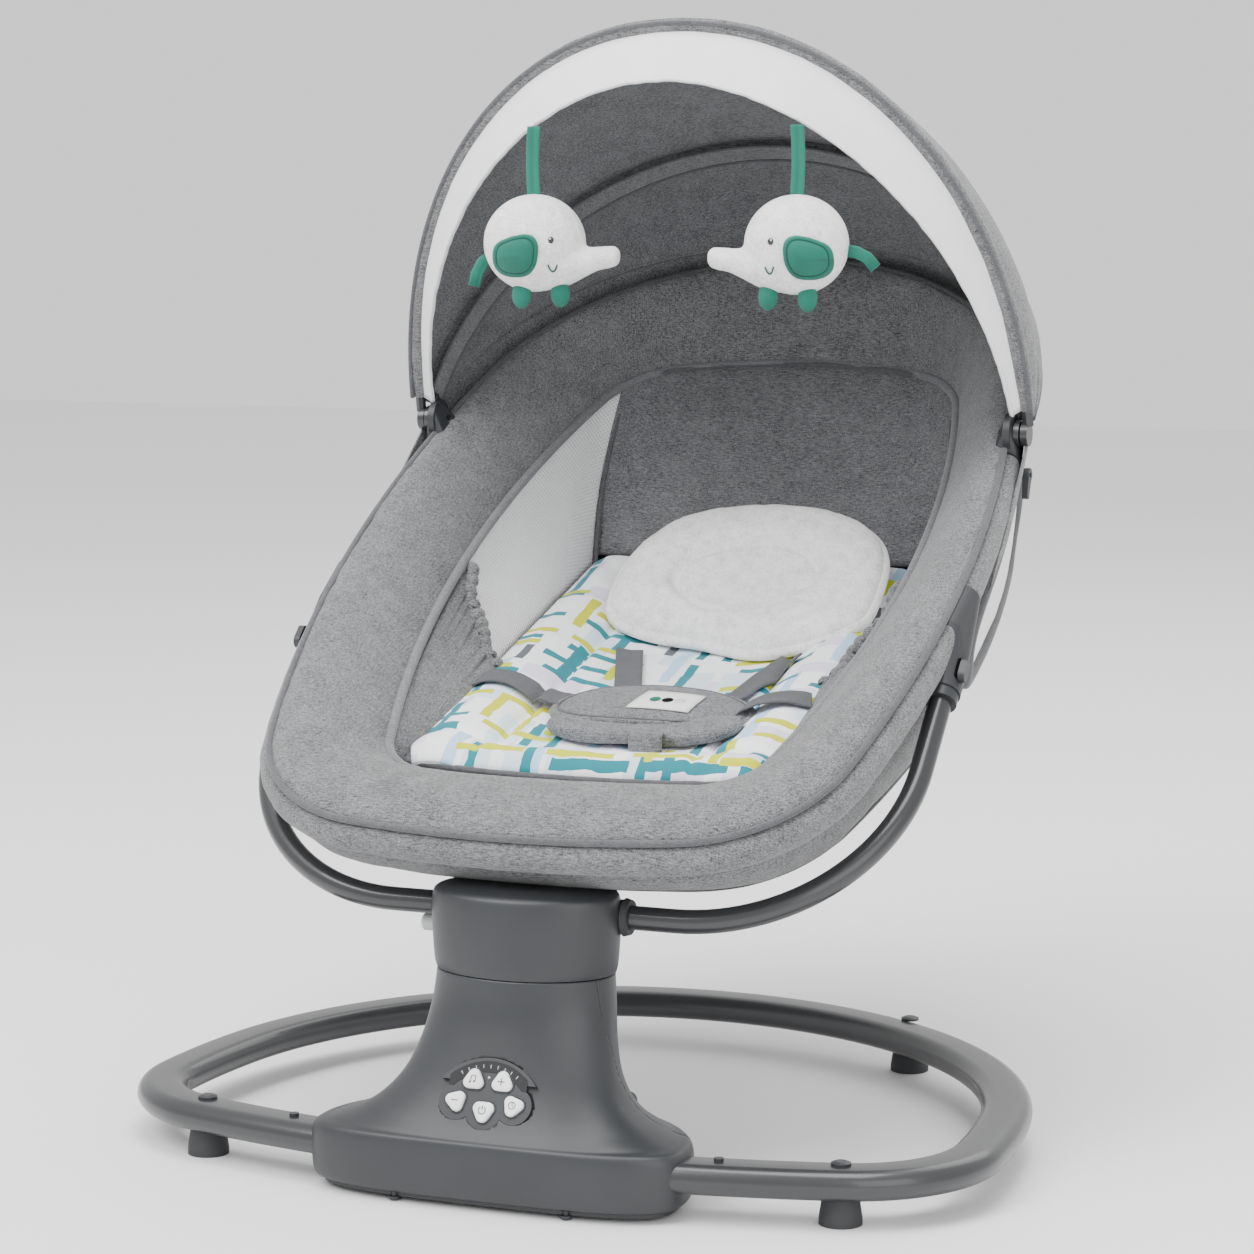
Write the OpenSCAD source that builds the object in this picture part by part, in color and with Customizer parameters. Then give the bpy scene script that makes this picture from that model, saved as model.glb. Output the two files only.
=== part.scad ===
// Baby swing: an oval tube base, a pedestal with a drive, and a reclining bassinet seat with a canopy.
// Units are millimetres, +Z up, +X to the sitter's left, -Y towards the foot end.

/* [Base] */
// Width of the tube's flat oval section
tube_w = 35; // [30:0.5:40]
// Height of the tube's flat oval section
tube_h = 20; // [16:0.5:24]
// Height of the ring's centreline above the floor
ring_z = 28; // [26:0.5:32]
// Wall of the base tube
tube_wall = 1.5; // [1:0.1:2]
// Radius of a rubber foot
foot_r = 14; // [12:0.5:16]

/* [Pedestal] */
// Height of the split between pedestal and swing head
split_z = 142; // [140:0.5:144]
// Wall of the plastic housings
shell_t = 3; // [2.4:0.2:3.4]
// Tilt of the control panel from the horizontal
panel_tilt = 64; // [62:1:66]

/* [Carrying tube] */
// Outer radius of the bent carrying tube
carry_r = 8; // [7.5:0.25:8.5]
// Bend radius of the carrying tube
carry_bend = 135; // [130:1:138]
// Rise of the carrying tube's plane above the horizontal
carry_lean = 42.3; // [41:0.1:44]

/* [Seat] */
// Tilt of the rim plane
rim_tilt = 30.56; // [30:0.1:31]
// Radius of the seat frame tube
frame_r = 7; // [6.5:0.25:7.5]
// Thickness of the basket fabric
fabric_t = 2.4; // [2:0.1:3]
// Width of the harness webbing
web_w = 20; // [18:1:22]

/* [Canopy] */
// Forward lean of the front bow
front_lean = 15.4; // [14:0.2:16]
// Backward lean of the middle bow
mid_lean = 31.6; // [30:0.2:33]
// Radius of a canopy bow
bow_r = 4; // [3:0.25:4.5]

/* [Hidden] */

// The ring's outline as left-turning arcs [radius, angle], from (0, ring_y) heading +X; mirrored at x = 0
ring_y = -240.9;
RING_ARCS = [[839, 15.8], [87, 73.8], [582, 8.9]];
// The rim's outer seam and the bolster's inner edge, as arcs in the rim plane
seam_v = 0;
SEAM_ARCS = [[900, 7.2], [110, 69.7], [992, 26]];
inner_v = 85;
INNER_ARCS = [[1217, 4.6], [48.5, 70], [928, 29.2], [70, 62]];
// Foot end of the rim plane, and where the frame's zero is moved to
rim_y = -218.6;
rim_z = 236.4;
mid_y = 70.5;
// The swing's vertical axis and the carrying tube's straight run in the head
axis_y = -183;
carry_y = -170;
carry_z = 178;
carry_x = 235;
// Canopy pivots on the frame
pivot_x = 229;
pivot_y = 182;
pivot_z = 475;
// Seat pad plane: foot end, slope and length
pad_y = -96;
pad_z = 260;
pad_tilt = 15.5;
pad_len = 390;
pad_w = 262;
pad_t = 16;
// Top of the swing head, and the control panel's place on the pedestal
head_top = 197;
panel_y = -250;
panel_z = 73;

// Everything is drawn about the swing column's own frame, then moved so that zero is under the middle
module placed() { translate([0, -mid_y, 0]) children(); }

// ---- Outline helpers ----
function arc_end(p, h, a) =
  let (c = [p[0] - a[0]*sin(h), p[1] + a[0]*cos(h)])
  [c[0] + a[0]*sin(h + a[1]), c[1] - a[0]*cos(h + a[1])];
function closing(p, h) = [p[0]/sin(h), 180 - h];
// Start points and headings of each arc, with the arc that closes the half outline last
function arc_list(p, h, arcs, i = 0) =
  i == len(arcs) ? [[p, h, closing(p, h)]]
  : concat([[p, h, arcs[i]]], arc_list(arc_end(p, h, arcs[i]), h + arcs[i][1], arcs, i + 1));
function arc_points(s, n) =
  [for (i = [0 : n - 1]) arc_end(s[0], s[1], [s[2][0], s[2][1]*i/n])];
// Half outline from the foot end to the head end, with `steps` listing the points per arc
function half_loop(v0, arcs, steps) =
  let (l = arc_list([0, v0], 0, arcs))
  concat([for (k = [0 : len(l) - 1]) each arc_points(l[k], steps[k])],
         [let (e = l[len(l) - 1]) [0, arc_end(e[0], e[1], e[2])[1]]]);
function mirrored(half) =
  let (n = len(half)) concat(half, [for (i = [n - 2 : -1 : 1]) [-half[i][0], half[i][1]]]);
// Points of a flat oval, w wide and h high, and n points round each end
function oval_points(w, h, n) =
  [for (s = [1, -1], k = [0 : n]) let (t = -90 + 180*k/n) [s*((w - h)/2 + h/2*cos(t)), s*h/2*sin(t)]];
function circle_points(r, n) = [for (k = [0 : n - 1]) [r*cos(360*k/n), r*sin(360*k/n)]];
// Closed tube of a section that follows a flat closed outline
module loop_tube(loop, section) {
  n = len(loop);
  skin([for (i = [0 : n - 1])
    let (p = loop[i], d = loop[(i + 1)%n] - loop[(i + n - 1)%n], side = [-d[1], d[0]]/norm(d))
    [for (q = section) [p[0] + side[0]*q[0], p[1] + side[1]*q[0], q[1]]]], looped = true);
}
// Hollow tube: the section and its bore
module loop_pipe(loop, section, bore) {
  difference() {
    loop_tube(loop, section);
    loop_tube(loop, bore);
  }
}

// ---- Mesh helpers ----
// Closed skin through rings of equal length, each anticlockwise as seen from the last ring
// (thin: the rings are long and narrow, so their end caps are made as strips)
module skin(rings, looped = false, thin = false) {
  n = len(rings[0]);
  m = len(rings);
  last = looped ? m - 1 : m - 2;
  walls = [for (i = [0 : last], j = [0 : n - 1])
    let (a = i*n + j, b = i*n + (j + 1)%n, c = ((i + 1)%m)*n + (j + 1)%n, d = ((i + 1)%m)*n + j)
    each [[a, c, b], [a, d, c]]];
  z = (m - 1)*n;
  strips = [for (j = [0 : n/2 - 2]) let (a = j, b = j + 1, c = n - 2 - j, d = n - 1 - j)
    each [[a, b, c], [a, c, d], [z + c, z + b, z + a], [z + d, z + c, z + a]]];
  caps = looped ? [] : thin ? strips : [[for (j = [0 : n - 1]) j], [for (j = [n - 1 : -1 : 0]) z + j]];
  polyhedron([for (r = rings) each r], concat(walls, caps), convexity = 10);
}
function rev(l) = [for (i = [len(l) - 1 : -1 : 0]) l[i]];
// A sheet between two grids of the same shape
module sheet(top, under) {
  skin([for (i = [0 : len(top) - 1]) concat(top[i], rev(under[i]))], thin = true);
}
function unit(v) = v/max(norm(v), 1e-9);
// Grid moved along its own normals by d
function shifted(g, d) =
  let (m = len(g) - 1, n = len(g[0]) - 1)
  [for (i = [0 : m]) [for (j = [0 : n])
    let (u = g[min(i + 1, m)][j] - g[max(i - 1, 0)][j], w = g[i][min(j + 1, n)] - g[i][max(j - 1, 0)])
    g[i][j] + d*unit(cross(u, w))]];
// Round rod along a list of points
module rod(path, r, sides = 12) {
  n = len(path) - 1;
  skin([for (i = [0 : n])
    let (t = unit(path[min(i + 1, n)] - path[max(i - 1, 0)]),
         a = unit(cross(t, abs(t[0]) < 0.9 ? [1, 0, 0] : [0, 1, 0])), b = cross(t, a))
    [for (k = [0 : sides - 1]) path[i] + r*(a*cos(360*k/sides) + b*sin(360*k/sides))]]);
}
// Rim-plane coordinates (across, along, above) to the frame
function on_rim(x, v, w) =
  [x, rim_y + v*cos(rim_tilt) - w*sin(rim_tilt), rim_z + v*sin(rim_tilt) + w*cos(rim_tilt)];
module rim_plane() { translate([0, rim_y, rim_z]) rotate([rim_tilt, 0, 0]) children(); }
module pad_plane() { translate([0, pad_y, pad_z]) rotate([pad_tilt, 0, 0]) children(); }
module panel_plane() { translate([0, panel_y, panel_z]) rotate([panel_tilt, 0, 0]) children(); }
module pair() { for (side = [0, 1]) mirror([side, 0, 0]) children(); }

// ---- Base ----
FEET = [[225, -206], [155, 181]];
RING = mirrored(half_loop(ring_y, RING_ARCS, [3, 12, 1, 12]));
module base_tube() {
  color("#4a4c4f") placed() translate([0, 0, ring_z])
    loop_pipe(RING, oval_points(tube_w, tube_h, 7), oval_points(tube_w - 2*tube_wall, tube_h - 2*tube_wall, 7));
}
module rubber_feet() {
  foot_h = ring_z - tube_h/2 - 0.3;
  color("#3a3b3d") placed() pair() for (f = FEET) translate([f[0], f[1], 0]) {
    cylinder(r = foot_r, h = 4, $fn = 48);
    translate([0, 0, 4]) cylinder(r1 = foot_r, r2 = foot_r - 2, h = foot_h - 4, $fn = 48);
  }
}
module tube_fasteners() {
  cap_z = ring_z + tube_h/2;
  color("#3f4143") placed() pair() {
    for (f = FEET) translate([f[0], f[1], cap_z]) {
      cylinder(r = 6.5, h = 1.6, $fn = 36);
      translate([0, 0, 1.6]) cylinder(r1 = 6.5, r2 = 4, h = 1, $fn = 36);
    }
    translate([150, -225.5, cap_z]) cylinder(r = 3.2, h = 2, $fn = 24);
  }
}

// ---- Pedestal: rows of [height, half width, centre y, front depth, back depth, front squareness] ----
COLUMN = [
  [6, 124, -227, 38, 84, 3.2], [12, 129, -227, 43, 90, 3.2], [40, 129, -227, 42, 88, 3.2],
  [46, 116, -226, 39, 85, 2.9], [53, 98, -223, 37, 82, 2.6], [63, 84, -217, 37, 76, 2.35],
  [78, 73, -207, 39, 66, 2.15], [98, 66.5, -196, 41, 55, 2.05], [120, 63, -187, 42, 47, 2],
  [split_z - 0.3, 61, axis_y, 43, 43, 2]];
HEAD = [
  [split_z + 0.3, 61.5, axis_y, 43, 44, 2], [150, 63, axis_y, 43.5, 46, 2.05],
  [175, 64.5, axis_y, 42.5, 48, 2.1], [190, 64, axis_y, 41, 47, 2.1], [head_top, 58, axis_y, 35, 41, 2.1]];
function curve(c, p) = sign(c)*pow(abs(c), p);
function section(r, inset, n = 56) = [for (k = [0 : n - 1])
  let (t = 360*k/n, front = sin(t) < 0, e = 2/(front ? r[5] : 2))
  [(r[1] - inset)*curve(cos(t), e), r[2] + ((front ? r[3] : r[4]) - inset)*curve(sin(t), e), r[0]]];
module column(rows, inset, up = 0, down = 0) {
  last = len(rows) - 1;
  skin([for (i = [0 : last])
    let (z = rows[i][0] + (i == 0 ? down : (i == last ? up : 0)))
    [for (p = section(rows[i], inset)) [p[0], p[1], z]]]);
}
// Half spaces that part the front shells from the rear ones
module behind(y) { translate([-200, y, -1]) cube([400, 300, 300]); }
module before(y) { translate([-200, y - 300, -1]) cube([400, 300, 300]); }
ped_split = -200;
// Slots that let the base tube into both ends of the housing
entry_x = 128;
module entries(gap) {
  turn = asin(entry_x/RING_ARCS[0][0]);
  y = ring_y + RING_ARCS[0][0]*(1 - cos(turn));
  pair() translate([entry_x, y, ring_z]) rotate([90, 0, 90 + turn]) translate([0, 0, -30])
    linear_extrude(60) {
      square([tube_w - tube_h, tube_h + 2*gap], center = true);
      for (s = [-1, 1]) translate([s*(tube_w - tube_h)/2, 0]) circle(d = tube_h + 2*gap, $fn = 48);
    }
}
SCREWS = [[60, -261.5], [60, -157]];
module pedestal_body() {
  difference() {
    column(COLUMN, 0);
    column(COLUMN, shell_t, 1, -1);
    entries(0.3);
  }
  pair() for (s = SCREWS) translate([s[0], s[1], 6]) difference() {
    cylinder(r = 5, h = 10, $fn = 32);
    translate([0, 0, -1]) cylinder(r = 2.1, h = 12, $fn = 24);
  }
}
module pedestal_front_shell() {
  color("#585a5d") placed() difference() {
    pedestal_body();
    behind(ped_split);
    panel_plane() translate([0, 0, -30]) linear_extrude(60) bezel_outline(0.3);
  }
}
module pedestal_rear_shell() {
  color("#56585b") placed() difference() {
    pedestal_body();
    before(ped_split + 0.2);
    socket_place() translate([0, 0, -5]) cylinder(r = 6.3, h = 40, $fn = 36);
  }
}
module pedestal_bottom_plate() {
  color("#4c4e51") placed() translate([0, 0, 3]) linear_extrude(2.7) difference() {
    polygon([for (p = section(COLUMN[0], 2)) [p[0], p[1]]]);
    pair() for (s = SCREWS) translate(s) circle(r = 2.3, $fn = 24);
  }
}

// ---- Control panel: buttons at [x, up the slope, corner radius, turn] ----
BUTTONS = [[0, -11, 4.2, 0], [-10, 8.5, 4, 60], [10, 8.5, 4, 60], [-20, -6, 3.8, 18], [20, -6, 3.8, -18]];
module button_outline(b, gap) {
  translate([b[0], b[1]]) rotate(b[3] + 30) hull()
    for (k = [0 : 2]) rotate(120*k) translate([3.4, 0]) circle(r = b[2] + gap, $fn = 32);
}
module bezel_outline(gap) {
  for (b = BUTTONS) translate([b[0], b[1]]) circle(r = 12.2 + gap, $fn = 48);
  intersection() {
    translate([0, -18]) difference() {
      circle(r = 42 + gap, $fn = 64);
      circle(r = 20 - gap, $fn = 64);
    }
    translate([-34 - gap, 8]) square([68 + 2*gap, 30]);
  }
}
bezel_t = 6;
key_gap = 0.35;
module control_bezel() {
  color("#4b4d50") placed() panel_plane() difference() {
    translate([0, 0, -bezel_t]) linear_extrude(bezel_t - 0.6) bezel_outline(0);
    for (b = BUTTONS) translate([0, 0, -10]) linear_extrude(20) button_outline(b, key_gap);
    translate([0, 0, -2.6]) linear_extrude(5) display_outline(0.15);
  }
}
module display_outline(gap) {
  translate([0, -18]) intersection() {
    difference() {
      circle(r = 39.5 + gap, $fn = 64);
      circle(r = 32.5 - gap, $fn = 64);
    }
    translate([-27 - gap, 22]) square([54 + 2*gap, 30]);
  }
}
module display_window() {
  color("#1c1e20") placed() panel_plane() translate([0, 0, -2.4]) linear_extrude(2) difference() {
    display_outline(0);
    for (key = BUTTONS) button_outline(key, key_gap);
  }
}
module button(i) {
  color("#f2f2f2") placed() panel_plane() {
    translate([0, 0, -4.5]) linear_extrude(6) button_outline(BUTTONS[i], 0);
    translate([0, 0, -bezel_t - 0.8]) linear_extrude(0.7) button_outline(BUTTONS[i], 1.2);
    translate([0, 0, -bezel_t - 0.2]) linear_extrude(2) button_outline(BUTTONS[i], -0.5);
  }
}
module button_power() { button(0); }
module button_music() { button(1); }
module button_plus() { button(2); }
module button_minus() { button(3); }
module button_timer() { button(4); }

// ---- Inside the pedestal ----
gear_module = 1.25;
pinion_teeth = 12;
gear_teeth = 48;
gear_z = 108;
gear_h = 9;
centre_gap = gear_module*(pinion_teeth + gear_teeth)/2;
shaft_r = 10;
running = 0.05;
// One tooth on the +X side of a wheel, thin enough to leave backlash
module tooth(teeth) {
  r = gear_module*teeth/2;
  half = 0.2*PI*gear_module;
  polygon([[r - 1.6*gear_module, -half*1.5], [r + 0.8*gear_module, -half*0.45],
           [r + 0.8*gear_module, half*0.45], [r - 1.6*gear_module, half*1.5]]);
}
module wheel(teeth, first, last) {
  circle(r = gear_module*(teeth/2 - 1.25), $fn = 64);
  for (k = [first : last]) rotate(360*k/teeth) tooth(teeth);
}
module control_board() {
  color("#2f6b45") placed() panel_plane() translate([-28, -20, -16]) cube([56, 40, 1.6]);
}
module loudspeaker() {
  color("#2a2b2d") placed() translate([-26, -176, 66]) rotate([-90, 0, 0]) {
    cylinder(r = 12, h = 8, $fn = 36);
    translate([0, 0, 8]) cylinder(r1 = 12, r2 = 18, h = 8, $fn = 36);
  }
}
module drive_motor() {
  color("#9a9ca0") placed() translate([centre_gap, axis_y, 58]) {
    cylinder(r = 13, h = gear_z - 61, $fn = 48);
    cylinder(r = 2.5, h = gear_z - 58, $fn = 24);
  }
}
module drive_pinion() {
  color("#e3e1d8") placed() translate([centre_gap, axis_y, gear_z + 0.5]) rotate(180 + 180/pinion_teeth)
    linear_extrude(gear_h - 1) wheel(pinion_teeth, 0, pinion_teeth - 1);
}
module sector_gear() {
  color("#dedbd0") placed() translate([0, axis_y, gear_z]) linear_extrude(gear_h) difference() {
    wheel(gear_teeth, -6, 6);
    circle(r = shaft_r - 2, $fn = 48);
  }
}
plate_z = 126;
plate_h = 6;
module swing_bearing() {
  color("#c9c6bb") placed() difference() {
    union() {
      translate([0, 0, plate_z]) linear_extrude(plate_h)
        polygon([for (p = section(COLUMN[len(COLUMN) - 1], shell_t)) [p[0], p[1]]]);
      translate([0, axis_y, gear_z + gear_h + 2]) cylinder(r = 16, h = 21, $fn = 64);
    }
    translate([0, axis_y, 90]) cylinder(r = shaft_r + running, h = 60, $fn = 64);
  }
}
module swing_shaft() {
  color("#b9bbbf") placed() translate([0, axis_y, 0]) {
    translate([0, 0, gear_z - 4]) cylinder(r = shaft_r - 2, h = 20, $fn = 64);
    translate([0, 0, gear_z + gear_h + 0.5]) cylinder(r = shaft_r, h = 160 - gear_z - gear_h - 0.5, $fn = 64);
  }
}
module socket_place() { translate([62, -170, 52]) rotate([-90, 0, 0]) children(); }
module dc_socket() {
  color("#1d1e20") placed() socket_place() difference() {
    union() {
      cylinder(r = 6, h = 14, $fn = 36);
      translate([0, 0, -3]) cylinder(r = 4, h = 4, $fn = 36);
    }
    translate([0, 0, 4]) difference() {
      cylinder(r = 3.2, h = 20, $fn = 36);
      cylinder(r = 1, h = 20, $fn = 24);
    }
  }
}
module housing_screws() {
  color("#8d8f93") placed() pair() for (s = SCREWS) translate([s[0], s[1], 0]) {
    translate([0, 0, 1]) cylinder(r = 3.8, h = 2, $fn = 24);
    translate([0, 0, 3]) cylinder(r = 2, h = 11, $fn = 24);
  }
}

// ---- Swing head ----
grommet_r = 11.5;
knob_y = -160;
knob_z = 162;
knob_r = 6;
module head_body() {
  difference() {
    column(HEAD, 0);
    column(HEAD, shell_t, -shell_t, -1);
    translate([-100, carry_y, carry_z]) rotate([0, 90, 0]) cylinder(r = grommet_r + 0.2, h = 200, $fn = 48);
    translate([-100, knob_y, knob_z]) rotate([0, 90, 0]) cylinder(r = knob_r + 0.35, h = 80, $fn = 48);
  }
}
module head_front_shell() {
  color("#5b5d60") placed() difference() {
    head_body();
    behind(carry_y);
  }
}
module head_rear_shell() {
  color("#5a5c5f") placed() difference() {
    head_body();
    before(carry_y + 0.2);
  }
}
module tube_clamp() {
  color("#3c3e40") placed() difference() {
    translate([-38, -205, 148]) cube([76, 52, 42]);
    translate([-60, carry_y, carry_z]) rotate([0, 90, 0]) cylinder(r = carry_r + running, h = 120, $fn = 64);
    translate([0, axis_y, 140]) cylinder(r = shaft_r, h = 20, $fn = 64);
  }
}
module tube_grommets() {
  color("#2c2d2f") placed() pair() translate([52, carry_y, carry_z]) rotate([0, 90, 0]) difference() {
    union() {
      cylinder(r = grommet_r, h = 15, $fn = 48);
      translate([0, 0, 13]) cylinder(r1 = grommet_r + 1.2, r2 = grommet_r, h = 4, $fn = 48);
    }
    translate([0, 0, -1]) cylinder(r = carry_r + running, h = 30, $fn = 64);
  }
}
module lock_knob() {
  color("#c6c8c9") placed() translate([-84, knob_y, knob_z]) rotate([0, 90, 0]) {
    cylinder(r1 = knob_r - 1.2, r2 = knob_r, h = 1.5, $fn = 48);
    translate([0, 0, 1.5]) cylinder(r = knob_r, h = 24, $fn = 48);
  }
}

// ---- Carrying tube and its connectors ----
straight_x = 100;
// The tube's own plane: X across, Y up the lean
module carry_plane() { translate([0, carry_y, carry_z]) rotate([carry_lean, 0, 0]) children(); }
arm_top = 226;
module carrying_tube() {
  color("#4a4c4f") placed() carry_plane() {
    pipe_x(2*straight_x);
    pair() {
      translate([straight_x, carry_bend, 0]) rotate([0, 0, -90])
        rotate_extrude(angle = 90, start = 0, $fn = 96) translate([carry_bend, 0]) pipe_section();
      translate([straight_x + carry_bend, carry_bend, 0]) rotate([-90, 0, 0])
        linear_extrude(arm_top - carry_bend) pipe_section();
    }
  }
}
module pipe_section() {
  difference() {
    circle(r = carry_r, $fn = 64);
    circle(r = carry_r - 1.5, $fn = 64);
  }
}
module pipe_x(l) { translate([-l/2, 0, 0]) rotate([0, 90, 0]) linear_extrude(l) pipe_section(); }

// Where the frame sits in the connector, and the way the rim runs there
module side(s) { mirror([s < 0 ? 1 : 0, 0, 0]) children(); }
frame_drop = 15;
SIDE_ARC = arc_list([0, seam_v], 0, SEAM_ARCS)[2];
side_r = SIDE_ARC[2][0];
// Heading of the seam and its distance from the middle, at v along the side
function seam_turn(v) = acos((SIDE_ARC[0][1] + side_r*cos(SIDE_ARC[1]) - v)/side_r);
function seam_x(v) = SIDE_ARC[0][0] + side_r*(sin(seam_turn(v)) - sin(SIDE_ARC[1]));
module frame_here(v) {
  rim_plane() translate([seam_x(v), v, -frame_drop]) rotate([0, 0, seam_turn(v) - 90])
    rotate([-90, 0, 0]) children();
}
frame_cut = frame_r + 0.6;
conn_v = 272;
module connector() {
  difference() {
    union() {
      hull() {
        carry_plane() translate([carry_x, arm_top - 24, 0]) rotate([-90, 0, 0]) cylinder(r = 12, h = 26, $fn = 32);
        frame_here(conn_v) translate([0, 0, -20]) cylinder(r = 11.5, h = 40, $fn = 32);
      }
      carry_plane() translate([carry_x, arm_top - 32, 0]) rotate([-90, 0, 0]) cylinder(r = 11, h = 10, $fn = 48);
    }
    carry_plane() translate([carry_x, arm_top - 40, 0]) rotate([-90, 0, 0])
      cylinder(r = carry_r + 0.02, h = 40.1, $fn = 64);
    frame_here(conn_v) translate([0, 0, -40]) cylinder(r = frame_cut, h = 80, $fn = 48);
    release_place() translate([0, 0, -4.5]) linear_extrude(30) release_outline(0.4);
  }
}
module release_place() {
  carry_plane() translate([carry_x + 12, arm_top - 8, 6]) rotate([0, 90, 0]) children();
}
module release_outline(gap) {
  for (s = [-1, 1]) translate([0, s*4]) circle(r = 5 + gap, $fn = 36);
  translate([-5 - gap, -4]) square([10 + 2*gap, 8]);
}
module connector_left() { color("#5f6164") placed() side(1) connector(); }
module connector_right() { color("#5f6164") placed() side(-1) connector(); }
module release_button() { release_place() translate([0, 0, -2]) linear_extrude(4.5) release_outline(0); }
module release_button_left() { color("#232426") placed() side(1) release_button(); }
module release_button_right() { color("#232426") placed() side(-1) release_button(); }

// ---- Seat ----
SIDE_STEPS = [3, 6, 8, 8];
HEAD_STEPS = [3, 5, 9, 5, 3];
OUTER = mirrored(half_loop(seam_v, SEAM_ARCS, SIDE_STEPS));
INNER = mirrored(half_loop(inner_v, INNER_ARCS, HEAD_STEPS));
// Depth of the inner edge under the rim plane, deeper towards the head
function inner_w(v) = -31.6 - 0.066*(v - 115);
module seat_frame_tube() {
  color("#4a4c4f") placed() rim_plane() translate([0, 0, -frame_drop])
    loop_pipe(OUTER, circle_points(frame_r, 12), circle_points(frame_r - 1.5, 12));
}
// Bolster section: share of the way in, and height over the line from seam to inner edge
ROLL = [[0, 0], [0.1, 9], [0.3, 17], [0.55, 19], [0.8, 15], [0.97, 5], [1, -2], [0.85, -10], [0.6, -14],
        [0.35, -10], [0.15, -3]];
module rim_bolster() {
  n = len(OUTER);
  color("#8b8c8f") placed() skin([for (k = [0 : n - 1])
    let (a = OUTER[k], b = INNER[k], wb = inner_w(b[1]))
    [for (p = rev(ROLL)) on_rim(a[0] + (b[0] - a[0])*p[0], a[1] + (b[1] - a[1])*p[0], -4 + (wb + 4)*p[0] + p[1])]],
    looped = true);
}
// Basket: rows of [share of the outline, share of the depth]
BOWL = [[0.985, 0], [0.99, 0.3], [0.95, 0.6], [0.85, 0.85], [0.68, 0.97], [0.45, 1]];
bowl_v = 315;
bowl_top = -23;
function bowl_depth(v) =
  lookup(v, [[-30, 60], [16, 63], [47, 75], [95, 84], [470, 182], [560, 176], [640, 145], [702, 110]]);
function bowl_ring(r, inset, up) =
  [for (p = rev(OUTER))
    let (v = bowl_v + (p[1] - bowl_v)*r[0] - inset*sign(p[1] - bowl_v)*min(1, abs(p[1] - bowl_v)/60),
         x = (abs(p[0])*r[0] - inset*min(1, abs(p[0])/40))*sign(p[0]))
    on_rim(x, v, bowl_top - (bowl_depth(v) + bowl_top)*r[1] + up)];
module basket_shell() {
  color("#7f8083") placed() difference() {
    skin([for (r = BOWL) bowl_ring(r, 0, 0)]);
    skin(concat([bowl_ring(BOWL[0], fabric_t, 1)], [for (r = BOWL) bowl_ring(r, fabric_t, fabric_t)]));
  }
}
function on_pad(x, u, h) =
  [x, pad_y + u*cos(pad_tilt) - h*sin(pad_tilt), pad_z + u*sin(pad_tilt) + h*cos(pad_tilt)];
// Side wall grid from the bolster's inner edge down to the pad's side
HALF_IN = half_loop(inner_v, INNER_ARCS, HEAD_STEPS);
wall_first = 7;
wall_last = 19;
function wall_grid(first, last, top_share, low_share, out) =
  [for (k = [first : last])
    let (p = HALF_IN[k], u = 4 + (pad_len - 8)*(k - wall_first)/(wall_last - wall_first),
         a = on_rim(p[0] + 1, p[1], inner_w(p[1]) - 18), b = on_pad(pad_w/2 + 4, u, -pad_t + 2))
    [for (j = [0 : 5]) let (f = top_share + (low_share - top_share)*j/5)
      a + (b - a)*f + [out + 6*sin(180*f), 0, 0]]];
module side_wall() {
  g = wall_grid(wall_first, wall_last, 0, 1, 2);
  sheet(shifted(g, -1), shifted(g, 1));
}
module mesh_wall_left() { color("#eceded") placed() side(1) side_wall(); }
module mesh_wall_right() { color("#eceded") placed() side(-1) side_wall(); }
module pocket() {
  g = wall_grid(wall_first, wall_first + 5, 0.25, 0.95, -8);
  sheet(shifted(g, -1.5), shifted(g, 1.5));
}
module pocket_left() { color("#87888b") placed() side(1) pocket(); }
module pocket_right() { color("#87888b") placed() side(-1) pocket(); }
module head_wall() {
  half = [for (k = [20 : len(HALF_IN) - 1]) HALF_IN[k]];
  m = len(half) - 1;
  right = [for (i = [0 : m]) [half[i], pad_w/2*(1 - i/m)]];
  all = concat(right, [for (i = [m - 1 : -1 : 0]) [[-right[i][0][0], right[i][0][1]], -right[i][1]]]);
  g = [for (q = all)
    let (a = on_rim(q[0][0], q[0][1], inner_w(q[0][1]) - 18), b = on_pad(q[1], pad_len + 8, -4))
    [for (j = [0 : 4]) a + (b - a)*j/4 + [0, 8*sin(45*j), 0]]];
  color("#7a7b7e") placed() sheet(shifted(g, -4), shifted(g, 4));
}
pad_sag = 22;
// Height of the pad's surface over the pad plane: it hangs like a hammock between its sides
function pad_h(x, u) =
  -pad_sag*(1 - pow(2*x/pad_w, 2))*sin(180*max(0, min(1, u/(pad_len + 90) + 0.06)));
function pad_grid(inset, up) = [for (i = [0 : 16])
  let (u = inset + (pad_len - 2*inset)*i/16)
  [for (j = [0 : 14]) let (x = (pad_w/2 - inset)*(2*j/14 - 1)) on_pad(x, u, pad_h(x, u) + up)]];
module seat_board() {
  color("#b8a58a") placed() sheet(pad_grid(30, -pad_t - 1), pad_grid(30, -pad_t - 4));
}
module seat_pad() {
  color("#e9eef2") placed() sheet(pad_grid(2, -1), pad_grid(2, -pad_t));
}
// A soft slab over the pad: outline points [x, u], thickness, and how far it stands off the pad
module on_pad_slab(outline, t, off, lean = 0) {
  n = len(outline);
  c = [for (k = [0, 1]) [for (p = outline) 1]*[for (p = outline) p[k]]/n];
  function lay(p, h) = let (over = max(0, p[1] - pad_len + 30))
    on_pad(p[0], p[1] - over*0.45, pad_h(p[0], min(p[1], pad_len)) + off + h + over*lean);
  skin([for (r = [[0.2, 0], [0.92, 0], [1, 0.25], [1, 0.7], [0.85, 1], [0.2, 1]])
    [for (p = outline) lay(c + (p - c)*r[0], t*r[1])]]);
}
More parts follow.
